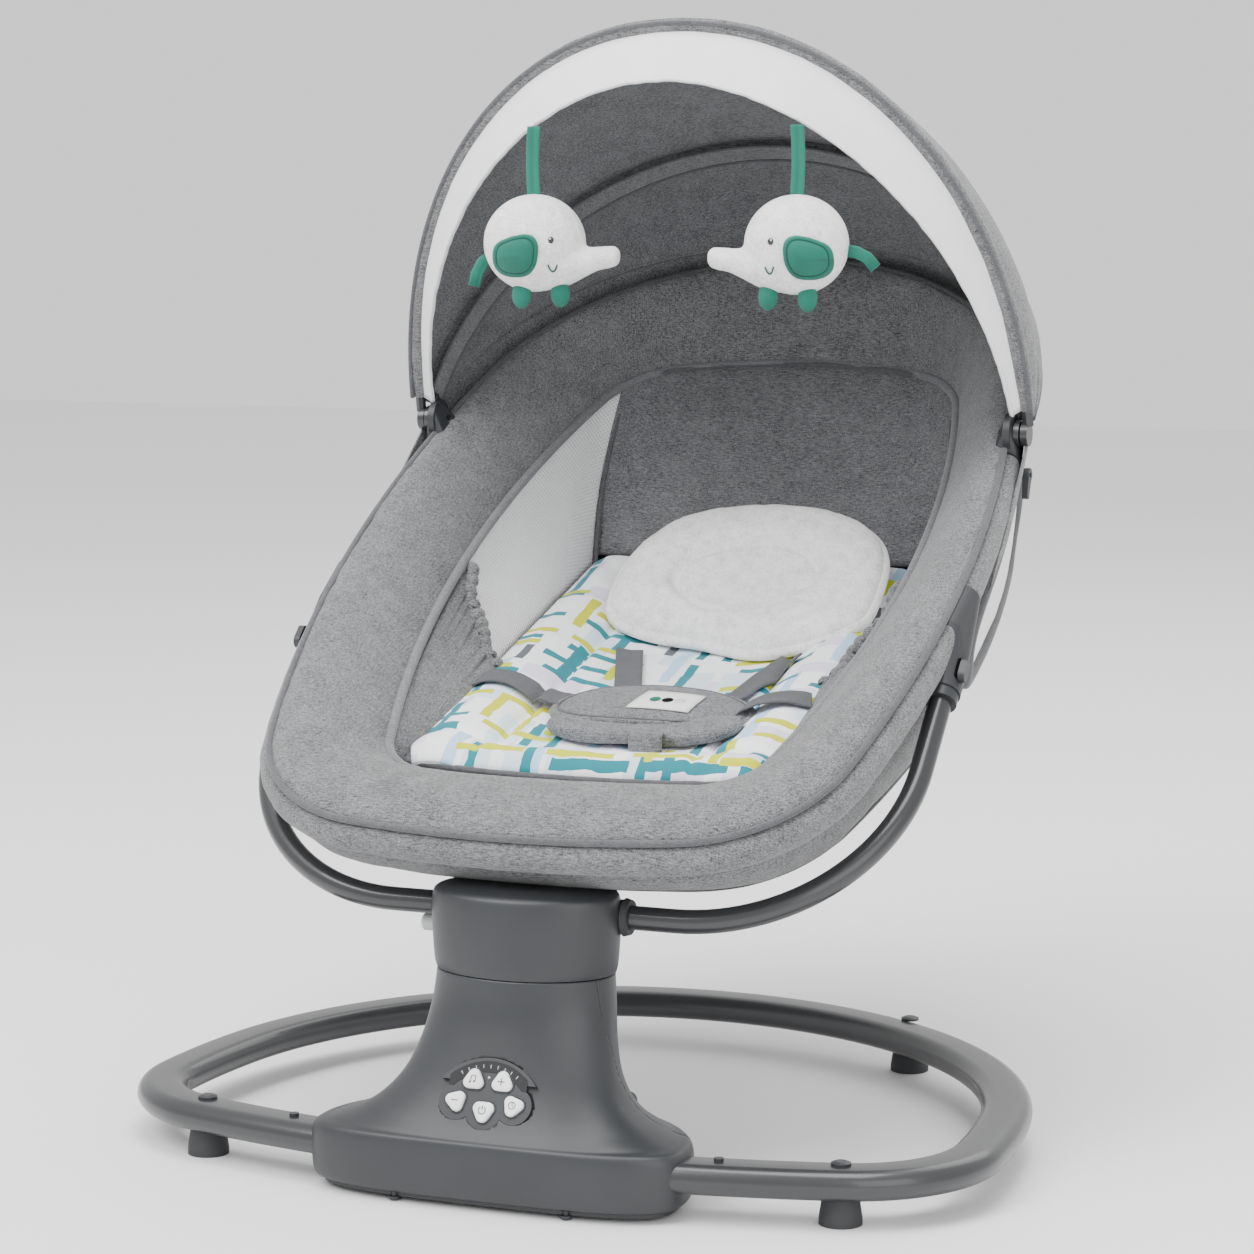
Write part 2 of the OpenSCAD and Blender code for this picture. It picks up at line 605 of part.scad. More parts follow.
// Horseshoe pillow: a round-topped arc with a dip at its foot end
pillow_x = 22;
pillow_u = 300;
PILLOW = [for (k = [0 : 35]) let (a = 10*k)
  [pillow_x + 106*cos(a), pillow_u + 82*curve(sin(a), 0.9) - (sin(a) < 0 ? -26*pow(max(0, -sin(a)), 6) : 0)]];
module head_pillow() { color("#f4f4f2") placed() on_pad_slab(PILLOW, 30, 1, 0.75); }
harness_x = 16;
harness_u = 108;
strap_t = 1.6;
// Flat strap along points [x, u] at heights h over the pad
module strap(path, h) {
  n = len(path) - 1;
  function way(i) = unit(path[min(i + 1, n)] - path[max(i - 1, 0)]);
  skin([for (i = [0 : n]) let (d = way(i), s = [d[1], -d[0]]*web_w/2, p = path[i])
    [for (q = [[1, 0], [-1, 0], [-1, 1], [1, 1]]) let (e = p + s*q[0])
      on_pad(e[0], e[1], pad_h(p[0], p[1]) + h[i] + strap_t*q[1])]]);
}
function between(a, b, n) = [for (i = [0 : n]) a + (b - a)*i/n];
module shoulder_straps() {
  color("#6f7175") placed() for (s = [-1, 1])
    strap(between([harness_x + s*33, harness_u + 26], [harness_x + s*64, harness_u + 108], 6),
          [8, 4, 2, 2, 2, 1, 0]);
}
module waist_straps() {
  color("#6f7175") placed() {
    strap(between([harness_x - 64, harness_u + 14], [-124, harness_u + 34], 5), [8, 7, 6, 5, 5, 5]);
    strap(between([harness_x + 64, harness_u + 14], [124, harness_u + 30], 5), [8, 7, 6, 5, 5, 5]);
  }
}
module crotch_flap() {
  color("#7b7d80") placed()
    on_pad_slab([for (k = [0 : 23]) [harness_x + 60*cos(15*k), harness_u - 30 + 24*sin(15*k)]], 5, 1);
}
module harness_buckle() {
  color("#3b3c3e") placed() pad_plane() translate([harness_x, harness_u, -9]) difference() {
    translate([-24, -18, -4]) cube([48, 36, 9]);
    translate([0, 0, 0.5]) cylinder(r = 7.4, h = 20, $fn = 36);
  }
}
module buckle_button() {
  color("#b5382f") placed() pad_plane() translate([harness_x, harness_u, -7.5]) cylinder(r = 7, h = 4, $fn = 36);
}
module harness_pad() {
  color("#8b8c8f") placed() on_pad_slab([for (k = [0 : 31]) let (a = 11.25*k)
    [harness_x + 76*curve(cos(a), 0.85), harness_u + 31*curve(sin(a), 0.9)]], 9, 16);
}

// ---- Canopy: bows [half width, height, lean from the vertical, roundness] ----
FRONT_BOW = [238.8, 299.7, -front_lean, 2.1];
MID_BOW = [238.2, 243.1, mid_lean, 2];
VISOR_EDGE = [227.9, 276.7, -25, 1.9];
REAR_EDGE = [232, 246, 58.5, 2.2];
bow_steps = 36;
function bow_point(b, t) = let (h = b[1]*curve(sin(t), 2/b[3]))
  [b[0]*curve(cos(t), 2/b[3]), pivot_y + h*sin(b[2]), pivot_z + h*cos(b[2])];
function bow_path(b, from = 3) =
  [for (k = [0 : bow_steps]) bow_point(b, from + (180 - 2*from)*k/bow_steps)];
function mix(a, b, f) = a + (b - a)*f;
// Cloth between two bows, swelling outwards by `swell` halfway
module bow_cloth(b0, b1, swell, t, first = 0, last = 1) {
  g = [for (i = [0 : 6]) let (f = mix(first, last, i/6), m = mix(b0, b1, f), k = swell*sin(180*f))
    bow_path([m[0] + k*0.6, m[1] + k, m[2], m[3]], 9)];
  sheet(shifted(g, -t/2), shifted(g, t/2));
}
pin_r = 3;
eye_t = 4;
mid_eye_x = pivot_x + 0.4;
mid_eye_r = 10;
front_eye_x = mid_eye_x + eye_t + 1;
// The front bow ends in outer eyes with the pivot pins, the middle bow in inner eyes that turn on them
module canopy_front_bow() {
  color("#4a4c4f") placed() {
    rod(bow_path(FRONT_BOW, 1), bow_r, 8);
    pair() {
      pivot_at(front_eye_x) cylinder(r = 9, h = eye_t + 1, $fn = 48);
      pivot_at(pivot_x - 9) cylinder(r = pin_r, h = 16, $fn = 36);
    }
  }
}
mid_from = 8;
module canopy_mid_bow() {
  start = bow_point(MID_BOW, mid_from);
  x = mid_eye_x + eye_t/2;
  function up(h) = [x, pivot_y + h*sin(mid_lean), pivot_z + h*cos(mid_lean)];
  color("#4a4c4f") placed() {
    rod(bow_path(MID_BOW, mid_from), bow_r, 8);
    pair() {
      rod([up(7), up(18), start], 2.2, 8);
      difference() {
        pivot_at(mid_eye_x) cylinder(r = mid_eye_r, h = eye_t, $fn = 48);
        pivot_at(mid_eye_x - 1) cylinder(r = pin_r + running, h = eye_t + 2, $fn = 36);
      }
    }
  }
}
module canopy_front_panel() { color("#7f8083") placed() bow_cloth(FRONT_BOW, MID_BOW, 14, 2, 0.06, 0.91); }
module canopy_rear_panel() { color("#7a7b7e") placed() bow_cloth(MID_BOW, REAR_EDGE, 8, 2, 0.1, 0.97); }
module canopy_visor() { color("#f4f4f4") placed() bow_cloth(VISOR_EDGE, FRONT_BOW, 3, 2, 0, 0.86); }

// Clip: a clamp round the seat frame with a two-disc hinge above it
clip_v = 462;
clip_x = 223;
module pivot_at(x) { translate([x, pivot_y, pivot_z]) rotate([0, 90, 0]) children(); }
module canopy_clip() {
  difference() {
    union() {
      hull() {
        frame_here(clip_v) translate([0, 0, -12]) cylinder(r = 11.5, h = 24, $fn = 32);
        pivot_at(pivot_x - 6) cylinder(r = 13, h = 5, $fn = 32);
      }
      pivot_at(pivot_x - 6) cylinder(r = 15, h = 5, $fn = 48);
    }
    frame_here(clip_v) translate([0, 0, -30]) cylinder(r = frame_cut, h = 60, $fn = 48);
    pivot_at(pivot_x - 20) cylinder(r = pin_r + running, h = 30, $fn = 36);
    pivot_at(pivot_x) cylinder(r = mid_eye_r + 0.6, h = 20, $fn = 48);
  }
  lever_at() translate([0, 0, -12]) cylinder(r = lever_pin_r, h = 18, $fn = 24);
}
lever_pin_r = 1.5;
module canopy_clip_left() { color("#55575a") placed() side(1) canopy_clip(); }
module canopy_clip_right() { color("#55575a") placed() side(-1) canopy_clip(); }
lever_y = 176;
lever_z = 446;
module lever_at() { translate([clip_x + 14, lever_y, lever_z]) rotate([0, 90, 0]) children(); }
module clip_lever() {
  difference() {
    union() {
      lever_at() cylinder(r = 5, h = 5, $fn = 36);
      hull() {
        lever_at() cylinder(r = 4, h = 5, $fn = 32);
        lever_at() translate([14, -5, 1]) cylinder(r = 3, h = 4, $fn = 32);
      }
    }
    lever_at() translate([0, 0, -1]) cylinder(r = lever_pin_r + running, h = 10, $fn = 24);
  }
}
module clip_lever_left() { color("#3c3d40") placed() side(1) clip_lever(); }
module clip_lever_right() { color("#3c3d40") placed() side(-1) clip_lever(); }

// ---- Hanging toys ----
toy_x = 99;
toy_y = 72;
strap_top = 694;
toy_z = 611;
module toy() {
  translate([toy_x, toy_y, toy_z]) {
    scale([1, 0.8, 1]) sphere(r = 35, $fn = 48);
    translate([-38, -4, 0]) rotate([0, -80, 0]) cylinder(r1 = 12, r2 = 5, h = 16, center = true, $fn = 32);
    for (s = [-1, 1]) translate([s*11, 0, -38]) cylinder(r = 6, h = 10, $fn = 32);
  }
  translate([toy_x - 4.5, toy_y - 1, toy_z + 34]) cube([9, 2, strap_top - toy_z - 34]);
  translate([toy_x - 4.5, toy_y, strap_top]) rotate([0, 90, 0]) cylinder(r = 1.6, h = 9, $fn = 24);
}
module toy_left() { color("#f3f3f1") placed() side(1) toy(); }
module toy_right() { color("#f3f3f1") placed() side(-1) toy(); }

base_tube();
rubber_feet();
tube_fasteners();
pedestal_front_shell();
pedestal_rear_shell();
pedestal_bottom_plate();
control_bezel();
display_window();
button_power();
button_music();
button_plus();
button_minus();
button_timer();
control_board();
loudspeaker();
drive_motor();
drive_pinion();
swing_bearing();
dc_socket();
housing_screws();
head_front_shell();
head_rear_shell();
swing_shaft();
sector_gear();
tube_clamp();
tube_grommets();
lock_knob();
carrying_tube();
connector_left();
connector_right();
release_button_left();
release_button_right();
seat_frame_tube();
rim_bolster();
basket_shell();
mesh_wall_left();
mesh_wall_right();
pocket_left();
pocket_right();
head_wall();
seat_board();
seat_pad();
head_pillow();
shoulder_straps();
waist_straps();
crotch_flap();
harness_buckle();
buckle_button();
harness_pad();
canopy_clip_left();
canopy_clip_right();
clip_lever_left();
clip_lever_right();
canopy_mid_bow();
canopy_front_bow();
canopy_rear_panel();
canopy_front_panel();
canopy_visor();
toy_left();
toy_right();
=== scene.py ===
"""Looks of the baby swing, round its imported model. Shape points are millimetres until world() makes them
metres; the lights and the camera are placed in metres."""
import math
import bmesh
import bpy
import numpy as np
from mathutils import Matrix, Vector, noise

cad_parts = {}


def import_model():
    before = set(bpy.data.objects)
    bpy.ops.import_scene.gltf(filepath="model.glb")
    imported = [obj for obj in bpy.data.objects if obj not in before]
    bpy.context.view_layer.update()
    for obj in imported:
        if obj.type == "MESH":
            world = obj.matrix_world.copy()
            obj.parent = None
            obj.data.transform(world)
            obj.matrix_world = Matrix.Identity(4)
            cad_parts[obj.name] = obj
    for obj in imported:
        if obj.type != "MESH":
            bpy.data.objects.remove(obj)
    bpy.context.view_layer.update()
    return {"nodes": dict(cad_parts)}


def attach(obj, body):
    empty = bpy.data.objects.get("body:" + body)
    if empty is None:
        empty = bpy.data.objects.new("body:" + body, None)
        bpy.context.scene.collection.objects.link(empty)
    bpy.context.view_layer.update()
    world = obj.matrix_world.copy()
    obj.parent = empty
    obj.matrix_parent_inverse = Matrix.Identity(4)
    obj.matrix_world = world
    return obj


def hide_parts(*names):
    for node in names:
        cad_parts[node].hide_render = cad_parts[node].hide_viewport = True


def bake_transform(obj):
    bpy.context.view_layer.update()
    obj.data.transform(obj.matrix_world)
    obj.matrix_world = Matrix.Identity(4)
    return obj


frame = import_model()

# ---------------------------------------------------------------- design frame
# The design is written in millimetres about the swing column; MID_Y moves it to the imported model's origin.
MID_Y = 70.5
RIM_TILT, RIM_Y, RIM_Z = math.radians(30.56), -218.6, 236.4
PAD_TILT, PAD_Y, PAD_Z = math.radians(15.5), -96.0, 260.0
PAD_LEN, PAD_W, PAD_T, PAD_SAG = 390.0, 262.0, 16.0, 22.0
PIVOT = np.array([229.0, 182.0, 475.0])  # canopy hinge at the sitter's left
HUB = PIVOT * (0, 1, 1)
FRAME_DROP = 15.0


def world(p):
    """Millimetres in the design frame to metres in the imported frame."""
    p = np.asarray(p, float)
    return (p - np.array([0.0, MID_Y, 0.0])) * 0.001


def rim(x, v, w):
    """Across, along and above the rim plane, to the design frame."""
    c, s = math.cos(RIM_TILT), math.sin(RIM_TILT)
    return np.array([x, RIM_Y + v * c - w * s, RIM_Z + v * s + w * c])


def pad(x, u, h):
    """Across, along and above the seat board's plane, to the design frame."""
    c, s = math.cos(PAD_TILT), math.sin(PAD_TILT)
    return np.array([x, PAD_Y + u * c - h * s, PAD_Z + u * s + h * c])


def pad_h(x, u):
    """Sag of the seat pad at (x, u)."""
    share = min(max(u / (PAD_LEN + 90) + 0.06, 0), 1)
    return -PAD_SAG * (1 - min(1, (2 * x / PAD_W) ** 2)) * math.sin(math.pi * share)


RIM_UP = tuple(rim(0, 0, 1) - rim(0, 0, 0))
PAD_UP = tuple(pad(0, 0, 1) - pad(0, 0, 0))


def turns(n):
    """n angles evenly round a full turn."""
    return [2 * math.pi * k / n for k in range(n)]


def arc_outline(v0, arcs, per_arc):
    """Half outline of left-turning arcs from (0, v0), closed by one more arc on x = 0, then mirrored."""
    x, y, h, pts = 0.0, v0, 0.0, []
    arcs = [list(a) for a in arcs]
    ends = arcs + [None]
    for n, arc in zip(per_arc, ends):
        if arc is None:
            arc = [x / math.sin(math.radians(h)), 180 - h]
        r, turn = arc
        cx, cy = x - r * math.sin(math.radians(h)), y + r * math.cos(math.radians(h))
        for k in range(n):
            a = math.radians(h + turn * k / n)
            pts.append((cx + r * math.sin(a), cy - r * math.cos(a)))
        h += turn
        a = math.radians(h)
        x, y = cx + r * math.sin(a), cy - r * math.cos(a)
    pts.append((0.0, y))
    return pts + [(-p[0], p[1]) for p in pts[-2:0:-1]]


SEAM_ARCS = [(900, 7.2), (110, 69.7), (992, 26)]
INNER_ARCS = [(1217, 4.6), (48.5, 70), (928, 29.2), (70, 62)]
RING_Y, RING_Z, RING_SECTION = -240.9, 28.0, (35, 20)
RING_ARCS = [(839, 15.8), (87, 73.8), (582, 8.9)]


def resample(points, n, closed=True):
    """n points evenly spaced along a polyline."""
    p = np.asarray(points, float)
    if closed:
        p = np.vstack([p, p[:1]])
    d = np.concatenate([[0], np.cumsum(np.linalg.norm(np.diff(p, axis=0), axis=1))])
    t = np.linspace(0, d[-1], n + 1 if closed else n)[: n]
    return np.stack([np.interp(t, d, p[:, k]) for k in range(p.shape[1])], axis=1)


def spline(points, t, closed=False):
    """Point at t on a smooth curve: 0 is the first point, 1 the second, and so on."""
    p = np.asarray(points, float)
    n = len(p)
    i = int(t) if closed else min(int(t), n - 2)
    f = t - i
    a, b, c, d = (p[(i + k) % n if closed else min(max(i + k, 0), n - 1)] for k in (-1, 0, 1, 2))
    m1, m2 = (c - a) / 2, (d - b) / 2
    return ((2 * f ** 3 - 3 * f ** 2 + 1) * b + (f ** 3 - 2 * f ** 2 + f) * m1
            + (-2 * f ** 3 + 3 * f ** 2) * c + (f ** 3 - f ** 2) * m2)


def inner_w(v):
    """Height above the rim plane of the bolster's inner edge."""
    return -31.6 - 0.066 * (v - 115)


# ---------------------------------------------------------------- mesh building
def make_mesh(name, verts, faces, uvs):
    me = bpy.data.meshes.new(name)
    me.from_pydata([tuple(map(float, v)) for v in verts], [], faces)
    me.update()
    layer = me.uv_layers.new(name="cloth")
    for loop in me.loops:
        layer.data[loop.index].uv = uvs[loop.vertex_index]
    me.polygons.foreach_set("use_smooth", [True] * len(me.polygons))
    ob = bpy.data.objects.new(name, me)
    bpy.context.scene.collection.objects.link(ob)
    return ob


def grid(name, g, close_u=False, close_v=False):
    """Mesh from rows of points in millimetres (design frame); its UVs are lengths in metres."""
    g = world(np.asarray(g, float))
    m, n = g.shape[:2]
    step_v, step_u = (np.cumsum(np.linalg.norm(np.diff(g, axis=k), axis=2), axis=k) for k in (1, 0))
    across = np.concatenate([np.zeros((m, 1)), step_v], 1)
    along = np.concatenate([np.zeros((1, n)), step_u], 0)
    uv = np.stack([across, along], axis=2).reshape(-1, 2)
    faces = []
    for i in range(m if close_u else m - 1):
        for j in range(n if close_v else n - 1):
            a, b = i * n + j, i * n + (j + 1) % n
            c, d = ((i + 1) % m) * n + (j + 1) % n, ((i + 1) % m) * n + j
            faces.append((a, b, c, d))
    return make_mesh(name, g.reshape(-1, 3), faces, uv)


def apply_modifiers(ob):
    bpy.context.view_layer.objects.active = ob
    deps = bpy.context.evaluated_depsgraph_get()
    solid = ob.evaluated_get(deps)
    me = bpy.data.meshes.new_from_object(solid, preserve_all_data_layers=True, depsgraph=deps)
    ob.modifiers.clear()
    old = ob.data
    ob.data = me
    bpy.data.meshes.remove(old)
    return ob


def thicken(ob, t_mm, offset=0.0):
    mod = ob.modifiers.new("thick", "SOLIDIFY")
    mod.thickness = t_mm * 0.001
    mod.offset = offset
    return apply_modifiers(ob)


def tube(name, path, radius, sides=16, closed=False, section=None, up=(0, 0, 1)):
    """Round tube (or another section of (side, up) points) along points in millimetres."""
    p = np.asarray(path, float)
    n = len(p)
    rings = []
    side = None
    for i in range(n):
        if closed:
            t = p[(i + 1) % n] - p[i - 1]
        else:
            t = p[min(i + 1, n - 1)] - p[max(i - 1, 0)]
        t = t / max(np.linalg.norm(t), 1e-9)
        if section is not None or closed:
            side = np.cross(np.asarray(up, float), t)
        elif side is None:
            ref = np.array([1.0, 0, 0]) if abs(t[0]) < 0.8 else np.array([0, 1.0, 0])
            side = np.cross(ref, t)
        else:
            side = side - t * np.dot(side, t)
        side = side / max(np.linalg.norm(side), 1e-9)
        top = np.cross(t, side)
        r = radius[i] if hasattr(radius, "__len__") else radius
        pts = section if section is not None else [(r * math.cos(a), r * math.sin(a)) for a in turns(sides)]
        rings.append([p[i] + side * q[0] + top * q[1] for q in pts])
    ob = grid(name, rings, close_u=closed, close_v=True)
    if not closed:
        cap_ends(ob, n, len(rings[0]))
    return ob


def cap_ends(ob, m, n):
    """Close both ends of a swept tube."""
    me = ob.data
    verts = [v.co[:] for v in me.vertices]
    faces = [tuple(f.vertices) for f in me.polygons]
    faces.append(tuple(range(n - 1, -1, -1)))
    faces.append(tuple(range((m - 1) * n, m * n)))
    uvs = [(0, 0)] * len(verts)
    for loop in me.loops:
        uvs[loop.vertex_index] = tuple(me.uv_layers[0].data[loop.index].uv)
    name = me.name
    new = bpy.data.meshes.new(name + "_c")
    new.from_pydata(verts, [], faces)
    layer = new.uv_layers.new(name="cloth")
    for loop in new.loops:
        layer.data[loop.index].uv = uvs[loop.vertex_index]
    new.polygons.foreach_set("use_smooth", [True] * (len(faces) - 2) + [False] * 2)
    ob.data = new
    bpy.data.meshes.remove(me)


def join(name, obs):
    bpy.ops.object.select_all(action="DESELECT")
    for o in obs:
        o.select_set(True)
    bpy.context.view_layer.objects.active = obs[0]
    bpy.ops.object.join()
    obs[0].name = name
    obs[0].data.name = name
    return obs[0]


def cloth(rows, area=None):
    """Cut area of a sheet, worked out from the rows it was made from (in millimetres); the result is not
    kept.
    """
    g = np.asarray(rows, float) / 1000
    a, b = g[1:, 1:] - g[:-1, :-1], g[1:, :-1] - g[:-1, 1:]
    area = area or np.linalg.norm(np.cross(a, b), axis=2).sum() / 2


def jitter(p, scale, seed=0.0):
    """Smooth noise value in -1..1 at a point in millimetres."""
    return noise.noise(Vector((p[0] / scale + seed, p[1] / scale - seed, p[2] / scale + 2 * seed)))


def face_outwards(ob):
    """Turn every face of a closed piece outwards."""
    bm = bmesh.new()
    bm.from_mesh(ob.data)
    bmesh.ops.recalc_face_normals(bm, faces=bm.faces)
    bm.to_mesh(ob.data)
    bm.free()


def finish_piece(ob, material, body, nodes=()):
    """Material, body and the CAD nodes that the piece stands for, which are hidden."""
    face_outwards(ob)
    ob.data.materials.clear()
    ob.data.materials.append(material)
    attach(ob, body)
    if nodes:
        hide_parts(*nodes)
    return ob


def binding(name, path, radius, sides=8, material=None, body="seat", closed=False,
            up=(0, 0, 1)):
    """Piping, tape or stitching: a round line of cloth along a path."""
    line = tube(name, path, radius, sides, closed, up=up)
    return finish_piece(line, material or PIPING, body)


# ---------------------------------------------------------------- materials
def srgb(r, g, b):
    """Linear colour of 0-255 display values."""
    def lin(c):
        c = c / 255
        return c / 12.92 if c <= 0.04045 else ((c + 0.055) / 1.055) ** 2.4
    return (lin(r), lin(g), lin(b), 1.0)


def shaded(color, k):
    return tuple(c * k for c in color[:3]) + (1,)


class Shader:
    """A material with a few helpers for building its node tree."""

    def __init__(self, name, rough=0.6, color=None, sheen=0.0, coat=0.0, metal=0.0):
        self.mat = bpy.data.materials.new(name)
        self.mat.use_nodes = True
        self.nt = self.mat.node_tree
        self.bsdf = self.nt.nodes["Principled BSDF"]
        self.bsdf.inputs["Roughness"].default_value = rough
        self.bsdf.inputs["Metallic"].default_value = metal
        self.bsdf.inputs["Sheen Weight"].default_value = sheen
        self.bsdf.inputs["Coat Weight"].default_value = coat
        if color:
            self.bsdf.inputs["Base Color"].default_value = color
        self.height = None

    def node(self, kind, **values):
        n = self.nt.nodes.new(kind)
        for key, value in values.items():
            setattr(n, key, value)
        return n

    def link(self, a, b):
        self.nt.links.new(a, b)

    def coords(self, scale=(1, 1, 1), uv=False, rotation=(0, 0, 0)):
        tc = self.node("ShaderNodeTexCoord")
        mp = self.node("ShaderNodeMapping")
        mp.inputs["Scale"].default_value = scale
        mp.inputs["Rotation"].default_value = rotation
        self.link(tc.outputs["UV" if uv else "Object"], mp.inputs["Vector"])
        return mp.outputs["Vector"]

    def noise(self, scale, detail=2.0, rough=0.5):
        """Noise in object space; scale is spots per metre, or one number for each axis."""
        n = self.node("ShaderNodeTexNoise")
        n.inputs["Scale"].default_value = 1
        n.inputs["Detail"].default_value = detail
        n.inputs["Roughness"].default_value = rough
        self.link(self.coords(scale if hasattr(scale, "__len__") else (scale,) * 3), n.inputs["Vector"])
        return n.outputs["Fac"]

    def wave(self, scale, direction, uv=True):
        n = self.node("ShaderNodeTexWave", bands_direction=direction)
        n.inputs["Scale"].default_value = scale
        self.link(self.coords(uv=uv), n.inputs["Vector"])
        return n.outputs["Fac"]

    def weave(self, scale, uv=True):
        """Warp and weft multiplied."""
        return self.math("MULTIPLY", self.wave(scale, "X", uv), self.wave(scale, "Y", uv))

    def math(self, op, a, b=0.5):
        n = self.node("ShaderNodeMath", operation=op)
        for k, value in enumerate((a, b)):
            if hasattr(value, "is_linked"):
                self.link(value, n.inputs[k])
            else:
                n.inputs[k].default_value = value
        return n.outputs[0]

    def ramp(self, fac, stops):
        n = self.node("ShaderNodeValToRGB")
        el = n.color_ramp.elements
        while len(el) < len(stops):
            el.new(0.5)
        for e, (pos, col) in zip(el, stops):
            e.position, e.color = pos, col
        self.link(fac, n.inputs["Fac"])
        return n.outputs["Color"]

    def mix(self, fac, a, b):
        n = self.node("ShaderNodeMix", data_type="RGBA")
        for key, value in (("Factor_Float", fac), ("A_Color", a), ("B_Color", b)):
            socket = next(s for s in n.inputs if s.identifier == key)
            if hasattr(value, "is_linked"):
                self.link(value, socket)
            else:
                socket.default_value = value
        return next(s for s in n.outputs if s.identifier == "Result_Color")

    def color(self, socket):
        self.link(socket, self.bsdf.inputs["Base Color"])

    def rough(self, fac, low, high):
        n = self.node("ShaderNodeMapRange")
        n.inputs["To Min"].default_value = low
        n.inputs["To Max"].default_value = high
        self.link(fac, n.inputs["Value"])
        self.link(n.outputs["Result"], self.bsdf.inputs["Roughness"])

    def bump(self, height, depth_mm):
        n = self.node("ShaderNodeBump")
        n.inputs["Distance"].default_value = depth_mm * 0.001
        n.inputs["Strength"].default_value = 1
        self.link(height, n.inputs["Height"])
        if self.height is not None:
            self.link(self.height, n.inputs["Normal"])
        self.height = n.outputs["Normal"]
        self.link(self.height, self.bsdf.inputs["Normal"])


def heather(name, dark, light, depth=0.5):
    """Melange cloth: light and dark yarns crossing, with slubs and a soft nap."""
    s = Shader(name, rough=0.9, sheen=0.25)
    across = s.noise((1150, 240, 1150), 3, 0.65)
    along = s.noise((240, 1150, 1150), 3, 0.65)
    yarn = s.math("ADD", s.math("MULTIPLY", across, 0.5), s.math("MULTIPLY", along, 0.5))
    patch = s.noise(60, 3, 0.55)
    tone = s.math("ADD", yarn, s.math("MULTIPLY", s.math("SUBTRACT", patch, 0.5), 0.12))
    mid = tuple((a + b) / 2 for a, b in zip(dark, light))
    s.color(s.ramp(tone, [(0.36, dark), (0.5, mid), (0.64, light)]))
    s.bump(s.weave(210, False), depth * 0.5)
    s.bump(yarn, depth)
    return s.mat


def plastic(name, color, rough=0.42, coat=0.0, grain=0.06):
    s = Shader(name, rough=rough, coat=coat)
    lighter = tuple(min(1, c) for c in shaded(color, 1.12))
    s.color(s.ramp(s.noise(14, 3), [(0.35, shaded(color, 0.9)), (0.65, lighter)]))
    fine = s.noise(1800)
    s.rough(fine, rough - 0.05, rough + 0.06)
    s.bump(fine, grain)
    return s.mat


def painted(name, color):
    """Powder-coated steel: a little orange peel under a soft gloss."""
    s = Shader(name, rough=0.3, coat=0.25)
    s.bump(s.noise(520), 0.05)
    soft = s.noise(9, 3)
    s.color(s.ramp(soft, [(0.3, shaded(color, 0.9)), (0.7, shaded(color, 1.1))]))
    s.rough(soft, 0.24, 0.36)
    return s.mat


def metal(name, color):
    s = Shader(name, rough=0.35, metal=1.0)
    brushed = s.noise((90, 90, 2400), 3)
    s.color(s.ramp(brushed, [(0.3, shaded(color, 0.8)), (0.7, color)]))
    s.bump(brushed, 0.03)
    return s.mat


def mesh_cloth(name):
    """Open knitted mesh: rows of small holes between white yarns, with painted shade in the holes."""
    s = Shader(name, rough=0.85, sheen=0.2)
    hole = s.weave(95)
    # The yarns are white and the holes are painted grey (206): painted shade where the mesh is open.
    s.color(s.ramp(hole, [(0.45, srgb(252, 252, 253)), (0.9, srgb(206, 207, 210))]))
    s.bump(s.math("SUBTRACT", 1.0, hole), 0.7)
    return s.mat


def smooth_cloth(name, color, shade=0.94, weave=260, sheen=0.15):
    s = Shader(name, rough=0.8, sheen=sheen)
    soft = s.noise(30, 3)
    s.color(s.ramp(soft, [(0.3, shaded(color, shade)), (0.7, color)]))
    s.bump(s.weave(weave), 0.25)
    s.bump(soft, 0.6)
    return s.mat


def plush(name, color, shade):
    """Short soft pile, painted darker (the shade colour) where it is low: painted shade between the tufts."""
    s = Shader(name, rough=1.0, sheen=0.5)
    pile = s.noise(520, 4, 0.7)
    tuft = s.noise(110, 3, 0.6)
    # Where the pile and tufts are low the colour falls to the shade colour: painted shade between the tufts.
    s.color(s.ramp(s.math("ADD", s.math("MULTIPLY", pile, 0.6), s.math("MULTIPLY", tuft, 0.4)),
                   [(0.36, shade), (0.56, color)]))
    s.bump(tuft, 1.6)
    s.bump(pile, 1.1)
    return s.mat


def webbing(name, color):
    """Ribbed strap with close cross ribs, the grooves between them painted darker as shade."""
    s = Shader(name, rough=0.75, sheen=0.1)
    rib = s.wave(230, "Y")
    # The troughs of the ribs are painted down to 0.6 of the colour: painted shade in the grooves.
    s.color(s.ramp(rib, [(0.1, shaded(color, 0.6)), (0.7, color)]))
    s.bump(rib, 0.4)
    return s.mat


